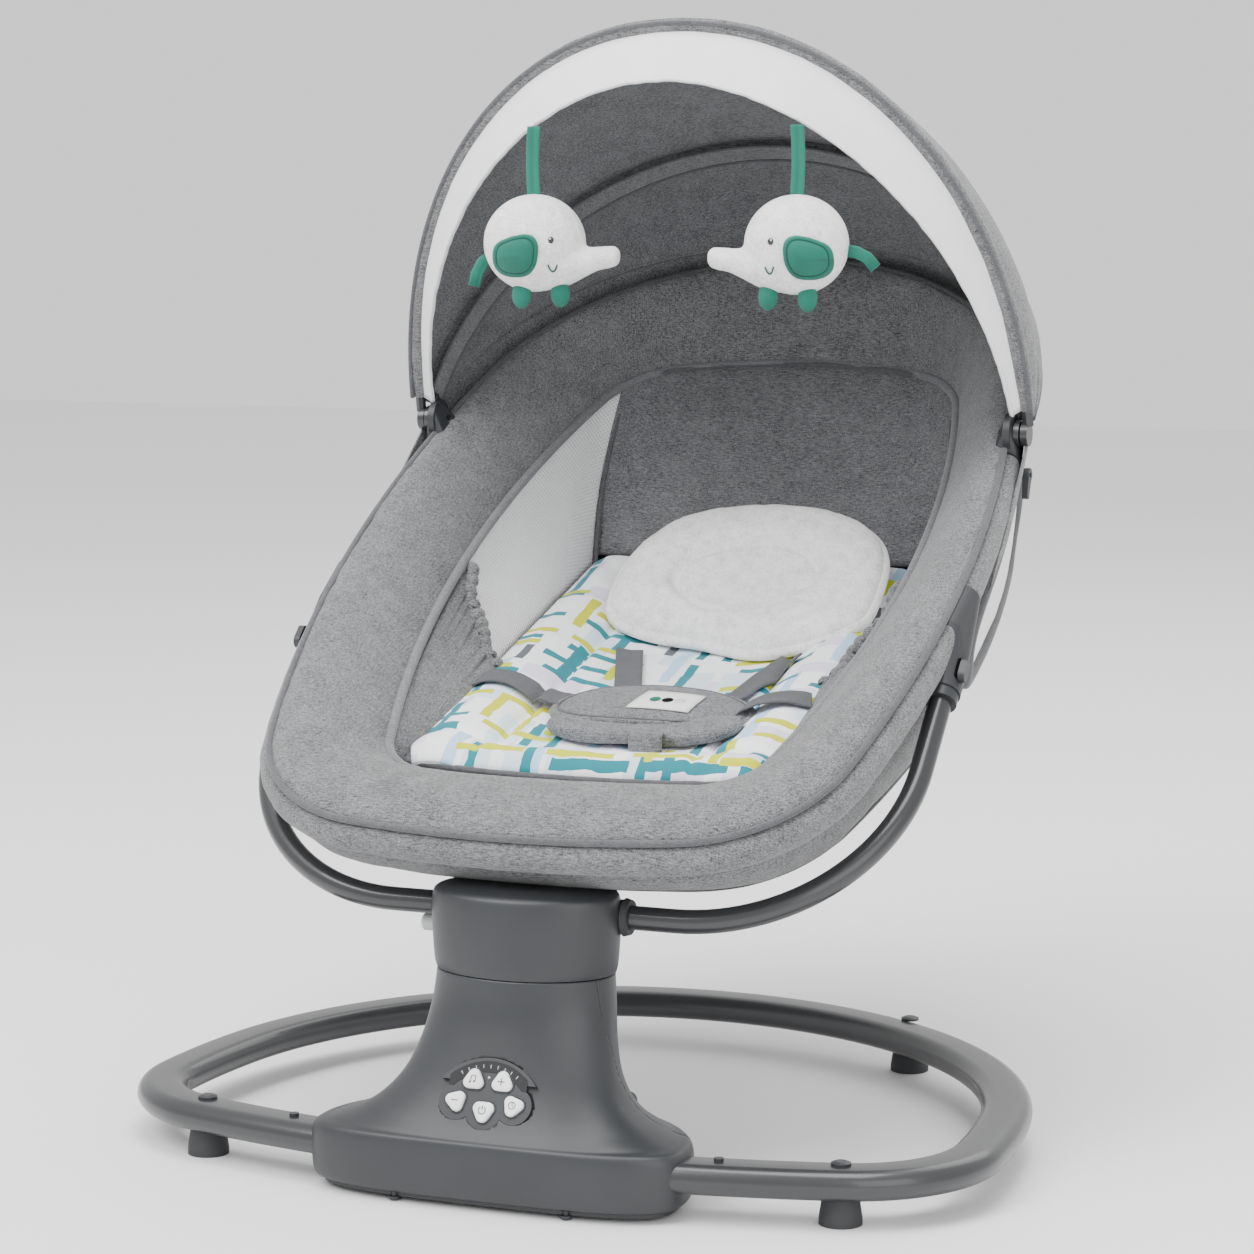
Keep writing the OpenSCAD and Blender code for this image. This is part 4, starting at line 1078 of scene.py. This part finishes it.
def head_wall():
    start = 19 * FINE - 2
    half = HALF_IN[start:]
    m = len(half) - 1
    wide = PAD_W / 2 + 5
    both = [(half[i], wide * (1 - i / m)) for i in range(m + 1)]
    both += [((-half[i][0], half[i][1]), -wide * (1 - i / m)) for i in range(m - 1, -1, -1)]
    rows = []
    for j in range(25):
        t = j / 24
        row = []
        for i, (q, x) in enumerate(both):
            edge = math.exp(-(min(i, len(both) - 1 - i) / 5) ** 2)
            a, b = rim(q[0], q[1], inner_w(q[1]) - 2), pad(x, PAD_LEN + 8, -4)
            p = a + (b - a) * t
            puff = 8 * math.sin(math.pi * t) + 1.5 * jitter(p, 45, 2) + 0.8 * jitter(p, 18, 5)
            bulge = (2 + 6 * math.sin(math.pi * t)) * edge * math.copysign(1, x)
            row.append(p + np.array([bulge, (puff - 4 * math.sin(math.pi * t) ** 0.5) * (1 - edge), 0]))
        rows.append(row)
    ob = thicken(grid("head_wall_pad", rows), 6.0, 0.0)
    bevel = ob.modifiers.new("round", "SUBSURF")
    bevel.levels = 1
    apply_modifiers(ob)
    finish_piece(ob, FABRIC_DARK, "seat", ("head_wall",))
    top = [p + np.array([0, -3, 1.5]) for p in rows[0]]
    piping = tube("head_wall_piping", top, 2.6, 10)
    finish_piece(piping, PIPING, "seat")


# ---------------------------------------------------------------- quilted pad, pillow and harness
def closed_rings(name, rings):
    """Closed body from rings, with a flat end on the first and the last."""
    ob = grid(name, rings, close_v=True)
    cap_ends(ob, len(rings), len(rings[0]))
    return ob


SEAM_X, FOOT_U = 78.0, 44.0


def pad_top(x, u):
    """Height of the quilted pad over its plane: side rolls, a foot roll and a softer middle."""
    base = pad_h(x, u)
    edge = min(1, max(0, (PAD_W / 2 - abs(x)) / 12)) ** 0.5
    side = math.exp(-((abs(x) - 104) / 24) ** 2) * 9
    foot = math.exp(-((u - 20) / 22) ** 2) * 10
    seam_line = -4.5 * math.exp(-((abs(x) - SEAM_X) / 3.5) ** 2) * min(1, u / FOOT_U)
    foot_seam = -4.5 * math.exp(-((u - FOOT_U) / 3.5) ** 2)
    middle = 2.5 * math.sin(math.pi * min(1, max(0, (u - FOOT_U) / 110 % 1))) if abs(x) < SEAM_X else 0
    pull = 1.4 * jitter((x, u, 0), 30, 3) + 0.8 * jitter((x, u, 0), 12, 9)
    return base + (max(side, foot) + middle + seam_line + foot_seam + pull) * edge - 2 * (1 - edge)


def seat_pad():
    """Quilted pad with rounded ends and corners, and piping along its foot and sides."""
    across, along = 110, 160
    rings = []
    for u in (1 + (PAD_LEN - 2) * i / along for i in range(along + 1)):
        from_end = min(u, PAD_LEN - u)
        full = min(1, from_end / 14) ** 0.5
        half = (PAD_W / 2 - 1) * (1 - 0.06 * max(0, 1 - from_end / 30) ** 2)
        top, low = [], []
        for j in range(across + 1):
            x = half * (2 * j / across - 1)
            h, under = pad_top(x, u), pad_h(x, u) - PAD_T + 1
            mid = (h + under) / 2
            top.append(pad(x, u, mid + (h - mid) * full))
            low.append(pad(x, u, mid + (under - mid) * full))
        rings.append(low + top[::-1])
    ob = closed_rings("seat_pad_cover", rings)
    finish_piece(ob, PRINT, "seat", ("seat_pad",))
    for n, h in enumerate((-4.0, -9.5)):
        edge = [pad(x, 0.5 - 2 * n + 5 * (x / 131) ** 4, pad_h(x, 0) + h) for x in np.linspace(-128, 128, 60)]
        binding(f"pad_foot_piping_{n}", edge, 3.0, 10)
    for side in (-1, 1):
        line = [pad(side * 130.0, u, pad_h(130, u) - 5) for u in np.linspace(4, PAD_LEN - 6, 60)]
        binding(f"pad_side_piping_{(side + 1) // 2}", line, 2.4)


PILLOW_X, PILLOW_U = 22.0, 300.0


def pillow_outline(a):
    """Head pillow: round towards the head, its foot side stepping down towards the right."""
    x = 106 * power(math.cos(a), 0.86)
    if math.sin(a) >= 0:
        return x, 94 * math.sin(a) ** 0.8
    s = min(1, max(0, (x + 34) / 76))
    return x, -(46 + 24 * s * s * (3 - 2 * s)) * (-math.sin(a)) ** 0.55


def lay_on_pad(x, u, h):
    """Point of the pillow, which lies on the pad and leans up against the head wall."""
    over = max(0.0, u - PAD_LEN + 120)
    return pad(x, u - over * 0.12, pad_h(x, min(u, PAD_LEN)) + 5 + h + over * 0.36)


def head_pillow():
    rings = []
    outline = [pillow_outline(a) for a in turns(160)]
    for share in np.linspace(0.02, 1, 46):
        ring = []
        for x, y in ((ox * share, oy * share) for ox, oy in outline):
            dome = 29 * (1 - share ** 4) ** 0.5
            d = math.hypot(x / 56, (y - 6) / 36)
            hollow = 11 * math.exp(-d ** 5) + 7 * math.exp(-((d - 1) / 0.09) ** 2) * (1 if y > -10 else 0.3)
            fur = 0.6 * jitter((x, y, 0), 4, 3) + 1.0 * jitter((x, y, 0), 20, 5)
            ring.append(lay_on_pad(PILLOW_X + x, PILLOW_U + y, max(0.5, dome - hollow) + fur))
        rings.append(ring)
    for share in (0.96, 0.88, 0.75, 0.5, 0.25, 0.02):
        under = -3 * (1 - share ** 4) ** 0.5
        rings.append([lay_on_pad(PILLOW_X + ox * share, PILLOW_U + oy * share, under) for ox, oy in outline])
    ob = closed_rings("pillow_plush", rings)
    finish_piece(ob, PLUSH, "seat", ("head_pillow",))
    edge = [lay_on_pad(PILLOW_X + ox * 0.985, PILLOW_U + oy * 0.985, 2.2) for ox, oy in outline]
    binding("pillow_edge", edge, 4.2, 12, PLUSH, "seat", True, PAD_UP)


HARNESS_X, HARNESS_U = 16.0, 108.0


def strap(name, path, lift, width, nodes=()):
    """Flat webbing along pad points (x, u) at heights lift above the pad."""
    path = np.asarray(path, float)
    n = 40
    t = np.linspace(0, 1, n)
    idx = np.linspace(0, 1, len(path))
    pts = np.stack([np.interp(t, idx, path[:, 0]), np.interp(t, idx, path[:, 1])], axis=1)
    hs = np.interp(t, np.linspace(0, 1, len(lift)), lift)
    rows = []
    for i in range(n):
        d = pts[min(i + 1, n - 1)] - pts[max(i - 1, 0)]
        d /= np.linalg.norm(d)
        row = []
        for j in range(9):
            s = (j / 8 - 0.5) * width
            x, u = pts[i] + np.array([d[1], -d[0]]) * s
            row.append(pad(x, u, pad_top(x, u) + hs[i] + 0.4 * math.cos(j / 8 * 2 * math.pi)))
        rows.append(row)
    ob = thicken(grid(name, rows), 1.5, 1)
    cloth(rows)
    finish_piece(ob, WEB, "seat", nodes)


OVAL_X, OVAL_U = 76.0, 31.0


def oval(share):
    """A share of the harness pad's outline, as offsets from its middle."""
    return [(OVAL_X * power(math.cos(a), 0.85) * share, OVAL_U * power(math.sin(a), 0.9) * share)
            for a in turns(120)]


def on_harness(x, u, h):
    """A point h above the harness pad's underside, which bends down at its ends."""
    return pad(HARNESS_X + x, HARNESS_U + u, h - 1.5 - 0.001 * x ** 2)


HARNESS_TOP = [(0, 8.1), (0.2, 8.0), (0.45, 7.8), (0.7, 7.0), (0.9, 5.6)]


def straps():
    """Each strap runs over pad points (x, u), as offsets from the middle of the harness pad."""
    shoulder, waist = 20, 22
    for name, path, lift, width, nodes in (
            ("shoulder_strap_left", [(33, 20), (64, 118)], [9, 2.5, 1.5, 2], shoulder, ("shoulder_straps",)),
            ("shoulder_strap_right", [(-29, 20), (-67, 130)], [9, 2.5, 1.5, 2], shoulder, ()),
            ("waist_strap_right", [(-60, 8), (-116, 26), (-144, 26)], [10, 3, 1.5], waist, ("waist_straps",)),
            ("waist_strap_left", [(60, 4), (92, 14), (111, 20)], [9, 3, 1.5], waist, ())):
        strap(name, [(HARNESS_X + x, HARNESS_U + u) for x, u in path], lift, width, nodes)


def harness_pad():
    """Oval pad over the buckle, with a raised edge roll and two rows of stitching."""
    rings = [[on_harness(x, u, 0) for x, u in oval(share)] for share in (0.01, 0.4, 0.8)]
    for share, h in ((1.0, 0), (1.02, 1.2), (1.02, 3.2), (1.0, 4.6), (0.965, 5.4), (0.93, 5.0), (0.9, 5.6),
                     (0.7, 7.0), (0.45, 7.8), (0.2, 8.0), (0.01, 8.1)):
        rings.append([on_harness(x, u, h + 0.5 * jitter((HARNESS_X + x, HARNESS_U + u, 0), 24, 4))
                      for x, u in oval(share)])
    ob = closed_rings("harness_pad_cover", rings)
    finish_piece(ob, FABRIC_QUILT, "seat", ("harness_pad",))
    for n, share in enumerate((0.93, 0.905)):
        line = [on_harness(x, u, 5.4) for x, u in oval(share)]
        binding(f"harness_stitch_{n}", line, 0.45, 6, PIPING, "seat", True, PAD_UP)


def harness_label():
    """Plain sewn label with three dots."""
    rows = []
    for s in np.linspace(0, 1, 9):
        row = []
        for t in np.linspace(0, 1, 9):
            x = (-13 + 46 * s) * (1 - t) + (-6 + 43 * s) * t
            u = -17 + 28 * t
            d = math.hypot(x / OVAL_X, u / OVAL_U)
            h = float(np.interp(d, *zip(*HARNESS_TOP)))
            row.append(on_harness(x, u, h + 1.1))
        rows.append(row)
    tag = thicken(grid("harness_label", rows), 0.8)
    finish_piece(tag, LABEL, "seat")
    cloth(rows)
    for n, (x, material) in enumerate(((4, TEAL), (13, EYE), (22, KNOB))):
        rings = [[pad(HARNESS_X + x + cx, HARNESS_U - 3 + cy, 6.2 - 0.001 * x * x + rise)
                  for cx, cy in circle(4.5 * share, turns(24))]
                 for share, rise in ((1, 0.9), (1, 1.7), (0.8, 2.0), (0.02, 2.1))]
        finish_piece(closed_rings(f"label_dot_{n}", rings), material, "seat")


def crotch_flap():
    """Folded flap that comes up between the legs: two soft layers with a loop at its foot edge."""
    rings = []
    for share, h in ((0.01, -5), (0.7, -5), (0.97, -3.5), (1.0, 0), (0.97, 3.4), (0.85, 5), (0.5, 6),
                     (0.01, 6)):
        ring = []
        for a in turns(90):
            x = HARNESS_X + 4 + 72 * power(math.cos(a), 0.7) * share
            u = HARNESS_U - 28 + 24 * power(math.sin(a), 0.7) * share
            fold = 0.8 * math.sin(x / 12) * (1 if math.sin(a) < 0 else 0.2) * share
            ring.append(pad(x, u, pad_h(x, u) + 9 + h + fold))
        rings.append(ring)
    ob = closed_rings("crotch_flap_cover", rings)
    finish_piece(ob, FABRIC_QUILT, "seat", ("crotch_flap",))
    loop = []
    for t in np.linspace(0, 1, 24):
        u = HARNESS_U - 54 + 6 * math.cos(math.pi * t)
        h = pad_top(HARNESS_X, HARNESS_U - 52) + 2 + 13 * math.sin(math.pi * t)
        loop.append([pad(HARNESS_X + 16 + x, u, h) for x in np.linspace(-12, 12, 7)])
    band = thicken(grid("crotch_loop", loop), 1.6)
    finish_piece(band, FABRIC_QUILT, "seat")
    cloth(loop)


# ---------------------------------------------------------------- canopy
# Each bow: half width, height, lean in degrees towards the head, squareness
FRONT_BOW = (238.8, 299.7, -15.4, 2.1)
MID_BOW = (238.2, 243.1, 31.6, 2.0)
VISOR_EDGE = (227.9, 276.7, -25.0, 1.9)
REAR_EDGE = (232.0, 246.0, 58.5, 2.2)
CANOPY_T0 = 3.4


def bow_point(bow, t_deg, grow=0.0):
    """Point of a bow at an angle round it, from the left hub to the right one."""
    c, height, lean, n = bow
    t = math.radians(t_deg)
    h = (height + grow) * power(math.sin(t), 2 / n)
    x = (c + grow) * power(math.cos(t), 2 / n)
    a = math.radians(lean)
    return np.array([x, PIVOT[1] + h * math.sin(a), PIVOT[2] + h * math.cos(a)])


def bow_params(bow, count, t0=CANOPY_T0):
    """Angles that space a bow's points evenly along it."""
    t = np.linspace(t0, 180 - t0, 721)
    p = np.array([bow_point(bow, a) for a in t])
    d = np.concatenate([[0], np.cumsum(np.linalg.norm(np.diff(p, axis=0), axis=1))])
    return np.interp(np.linspace(0, d[-1], count), d, t)


def canopy_patch(bow_a, bow_b, span, swell, wrinkle, grow, seed, rows=34, count=150):
    """Fabric between two bows; grow pushes it outwards, swell lifts its middle."""
    ta, tb = bow_params(bow_a, count), bow_params(bow_b, count)
    g = []
    for i in range(rows):
        s = span[0] + (span[1] - span[0]) * i / (rows - 1)
        row = []
        for j in range(count):
            a, b = bow_point(bow_a, ta[j]), bow_point(bow_b, tb[j])
            p = a + (b - a) * s
            out = p - HUB
            out /= np.linalg.norm(out)
            arch = math.sin(math.pi * s)
            foot = math.sin(math.pi * j / (count - 1)) ** 0.5
            creases = wrinkle * arch * (jitter(p, 70, seed) + 0.5 * jitter(p, 28, seed + 5))
            near_edge = math.exp(-(s / 0.08) ** 2) + math.exp(-((1 - s) / 0.08) ** 2)
            gathers = 0.8 * near_edge * jitter(p, 9, seed)
            row.append(p + out * (grow * (0.35 + 0.65 * foot) + swell * arch * foot + creases + gathers))
        g.append(row)
    return g


PANELS = (
    ("rear", (MID_BOW, REAR_EDGE), ("mid_bow", "seat"), (0.02, 1.0), 8, 2),
    ("front", (FRONT_BOW, MID_BOW), ("front_bow", "mid_bow"), (-0.01, 0.99), 12, 7))


def canopy():
    for word, bows, bodies, span, swell, seed in PANELS:
        shown = canopy_patch(*bows, span, swell, 2.0, 5.0, seed)
        inside = canopy_patch(*bows, span, swell, 2.0, 2.8, seed)
        for part, rows, thickness, material in (("cloth", shown, 1.0, FABRIC),
                                                ("lining", inside, 0.8, FABRIC_DARK)):
            piece = thicken(grid(f"canopy_{word}_{part}", rows), thickness, 0)
            piece.data.materials.clear()
            piece.data.materials.append(material)
            cloth(shown)
            blend_canopy(piece)
            if part == "cloth":
                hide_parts(f"canopy_{word}_panel")
    visor()
    bow_sleeves()
    rear_curtain()


def blend_canopy(piece):
    """Bakes the piece's placement into its mesh; the cloth is not tied to either bow."""
    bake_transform(piece)


def visor():
    g = canopy_patch(VISOR_EDGE, FRONT_BOW, (0.0, 0.98), 2.5, 1.6, 0.0, 12, rows=18)
    band = thicken(grid("visor_cloth", g), 1.2)
    finish_piece(band, VISOR, "front_bow", ("canopy_visor",))
    cloth(g)
    binding("visor_edge_binding", g[0], 1.7, 8, VISOR, "front_bow")
    binding("visor_stitch", g[2], 0.5, 6, VISOR, "front_bow")


def behind(bow):
    """Unit vector square to a bow's plane, towards the head."""
    a = math.radians(bow[2])
    return np.array([0, math.cos(a), -math.sin(a)])


def bow_sleeves():
    """Channels that hold the two bows, with a flat band under the middle one."""
    for word, bow, r, start in (("front", FRONT_BOW, 6.4, 3.0), ("mid", MID_BOW, 6.0, 4.5)):
        path = [bow_point(bow, a) for a in bow_params(bow, 160, start)]
        radius = [r * (0.75 + 0.25 * min(1, min(i, 159 - i) / 6)) + 0.4 * jitter(p, 14, 3)
                  for i, p in enumerate(path)]
        binding(f"{word}_bow_sleeve", path, radius, 16, FABRIC, f"{word}_bow")
    edge = [bow_point(FRONT_BOW, a, 4.2) - behind(FRONT_BOW) * 5.2 for a in bow_params(FRONT_BOW, 160, 3.0)]
    binding("canopy_front_piping", edge, 1.8, body="front_bow")
    t, back = bow_params(MID_BOW, 160, 5), behind(MID_BOW)
    rows = [[bow_point(MID_BOW, a, -6.5 + abs(s) / 9) + back * s for a in t] for s in np.linspace(-10, 10, 9)]
    band = thicken(grid("mid_bow_band", rows), 1.0)
    finish_piece(band, FABRIC_DARK, "mid_bow")
    cloth(rows)
    for n, s in enumerate((-10, 10)):
        binding(f"mid_bow_seam_{n}", [bow_point(MID_BOW, a, -6.5) + back * s for a in t], 1.3, body="mid_bow")


def rear_curtain():
    """Cloth from the rear edge of the canopy down to the rim."""
    t = bow_params(REAR_EDGE, 140)
    station = 13 * FINE
    ring = offset_loop(OUTER, 11)
    low = resample(ring[station:ROUND - station + 1], len(t), False)
    rows = []
    for f in np.linspace(0, 1, 9):
        slack = np.array([0, 5 * math.sin(math.pi * f), 0])
        rows.append([bow_point(REAR_EDGE, a, 5) * (1 - f) + rim(x, v, -24) * f + slack
                     for a, (x, v) in zip(t, low)])
    curtain = thicken(grid("canopy_rear_curtain", rows), 1.2)
    finish_piece(curtain, FABRIC, "seat")
    cloth(rows)
    binding("canopy_rear_hem", [bow_point(REAR_EDGE, a, 5) for a in t], 2.6, 10)


# ---------------------------------------------------------------- hanging toys
TOY = np.array([99.0, 72.0, 611.0])
STRAP_TOP = 694.0


class ToyFrame:
    """Places a toy's own points: x towards its tail, -y towards the viewer, z up."""

    def __init__(self, side, yaw):
        self.side, self.a = side, math.radians(yaw)

    def __call__(self, p):
        x, y, z = p[0] * self.side, p[1], p[2]
        c, s = math.cos(self.a), math.sin(self.a)
        return TOY * np.array([self.side, 1, 1]) + np.array([x * c - y * s, x * s + y * c, z])


def ball(name, place, centre, radii, n=40):
    """Ellipsoid with its middle and radii in the toy's own frame."""
    rings = []
    for i in range(1, n):
        e = -math.pi / 2 + math.pi * i / n
        rings.append([place((centre[0] + radii[0] * math.cos(e) * math.cos(a),
                             centre[1] + radii[1] * math.cos(e) * math.sin(a),
                             centre[2] + radii[2] * math.sin(e)))
                      for a in turns(2 * n)])
    ob = grid(name, rings, close_v=True)
    cap_ends(ob, len(rings), 2 * n)
    return ob


def remesh(ob, voxel_mm, smooth=6):
    mod = ob.modifiers.new("voxels", "REMESH")
    mod.mode, mod.voxel_size, mod.use_smooth_shade = "VOXEL", voxel_mm / 1000, True
    soft = ob.modifiers.new("soft", "SMOOTH")
    soft.factor, soft.iterations = 0.5, smooth
    return apply_modifiers(ob)


BODY = (37.0, 27.0, 35.0)
EAR = (11, -9)


def toy_front(x, z):
    """Depth of the plush body's face at (x, z)."""
    return -BODY[1] * math.sqrt(max(0.03, 1 - (x / BODY[0]) ** 2 - (z / BODY[2]) ** 2))


def toy(side):
    word = "left" if side > 0 else "right"
    body = f"hanging_toy_{word}"
    place = ToyFrame(side, 10 if side > 0 else 16)
    torso = ball(f"toy_body_{word}", place, (0, 0, 0), BODY)
    trunk = [(-14, -2, -13), (-26, -3, -14), (-36, -4, -13), (-45, -5, -11), (-53, -5, -10), (-59, -5, -9),
             (-62, -5, -9)]
    trunk_ob = tube("trunk", [place(p) for p in trunk], [21, 16, 11, 8.6, 8.2, 7.4, 4.2], 20)
    plush_ob = remesh(join(f"toy_plush_{word}", [torso, trunk_ob]), 1.7, 8)
    finish_piece(plush_ob, PLUSH, body, (f"toy_{word}",))
    toy_ear(word, body, place)
    toy_face(word, body, place)
    for n, (x, z) in enumerate(((-19, -32), (9, -33))):
        foot = ball("foot", place, (x, -6, z - 4), (7.0, 6.0, 10.0), 16)
        foot.name = f"toy_foot_{word}_{n}"
        finish_piece(foot, TEAL, body)
    tail = [(33, 0, -4), (42, 0, -5), (50, -1, -9), (56, -2, -16)]
    if side < 0:
        tail = [(32, 0, -10), (38, 0, -14), (42, -1, -22), (44, -2, -31)]
    flat = [(1.7 * power(math.cos(a), 0.6), 4.4 * power(math.sin(a), 0.6)) for a in turns(16)]
    tail_ob = tube(f"toy_tail_{word}", [place(p) for p in tail], 1.0, section=flat)
    finish_piece(tail_ob, TEAL, body)
    toy_strap(side, word, body)


def toy_ear(word, body, place):
    outline = []
    for a in turns(60):
        r = 1 + 0.10 * math.cos(2 * a + 0.9) + 0.05 * math.cos(3 * a - 0.4)
        outline.append((15.5 * r * power(math.cos(a), 0.8), 15.5 * r * power(math.sin(a), 0.8)))

    def level(share, rise):
        pts = [(EAR[0] + x * share, EAR[1] + z * share) for x, z in outline]
        return [place((x, toy_front(x, z) - rise, z)) for x, z in pts]

    rings = [level(*at) for at in ((1.0, -1.2), (1.03, 0.6), (1.0, 2.2), (0.9, 2.8), (0.84, 1.9), (0.78, 2.9),
                                   (0.5, 3.6), (0.02, 3.8))]
    finish_piece(closed_rings(f"toy_ear_{word}", rings), TEAL, body)
    binding(f"toy_ear_stitch_{word}", level(0.84, 2.0), 0.5, 6, TEAL_DARK, body, True)


def toy_face(word, body, place):
    ex, ez = -14.5, 2.5
    eye = ball("eye", place, (ex, toy_front(ex, ez) - 0.4, ez), (2.1, 1.6, 2.5), 12)
    eye.name = f"toy_eye_{word}"
    finish_piece(eye, EYE, body)
    glint = ball("glint", place, (ex + 0.5, toy_front(ex, ez) - 1.9, ez + 0.9), (0.6, 0.4, 0.6), 8)
    glint.name = f"toy_eye_glint_{word}"
    finish_piece(glint, VISOR, body)
    smile = []
    for t in np.linspace(-1, 1, 17):
        x, z = -15.5 + 3.2 * t, -20 + 5.0 * abs(t) ** 2.2
        smile.append(place((x, toy_front(x, z) - 2.4, z)))
    binding(f"toy_smile_{word}", smile, 0.6, 8, TEAL_DARK, body)


def toy_strap(side, word, body):
    rows = []
    for s in np.linspace(0, 1, 30):
        z = TOY[2] + 29 + (STRAP_TOP - TOY[2] - 29) * s
        middle = side * (TOY[0] + 1.2 * math.sin(3 * s))
        rows.append([(middle + x, TOY[1] + 0.6 * math.cos(x), z) for x in np.linspace(-4.8, 4.8, 9)])
    band = thicken(grid(f"toy_strap_{word}", rows), 1.6)
    finish_piece(band, TEAL, body)
    cloth(rows)


# ---------------------------------------------------------------- build
def soft_parts():
    bolster()
    sleeve()
    basket()
    side_walls()
    head_wall()
    seat_pad()
    head_pillow()
    straps()
    harness_pad()
    harness_label()
    crotch_flap()
    canopy()
    toy(1)
    toy(-1)


base_ring()
housings()
control_panel()
dress_cad_nodes()
soft_parts()
stage()
camera()
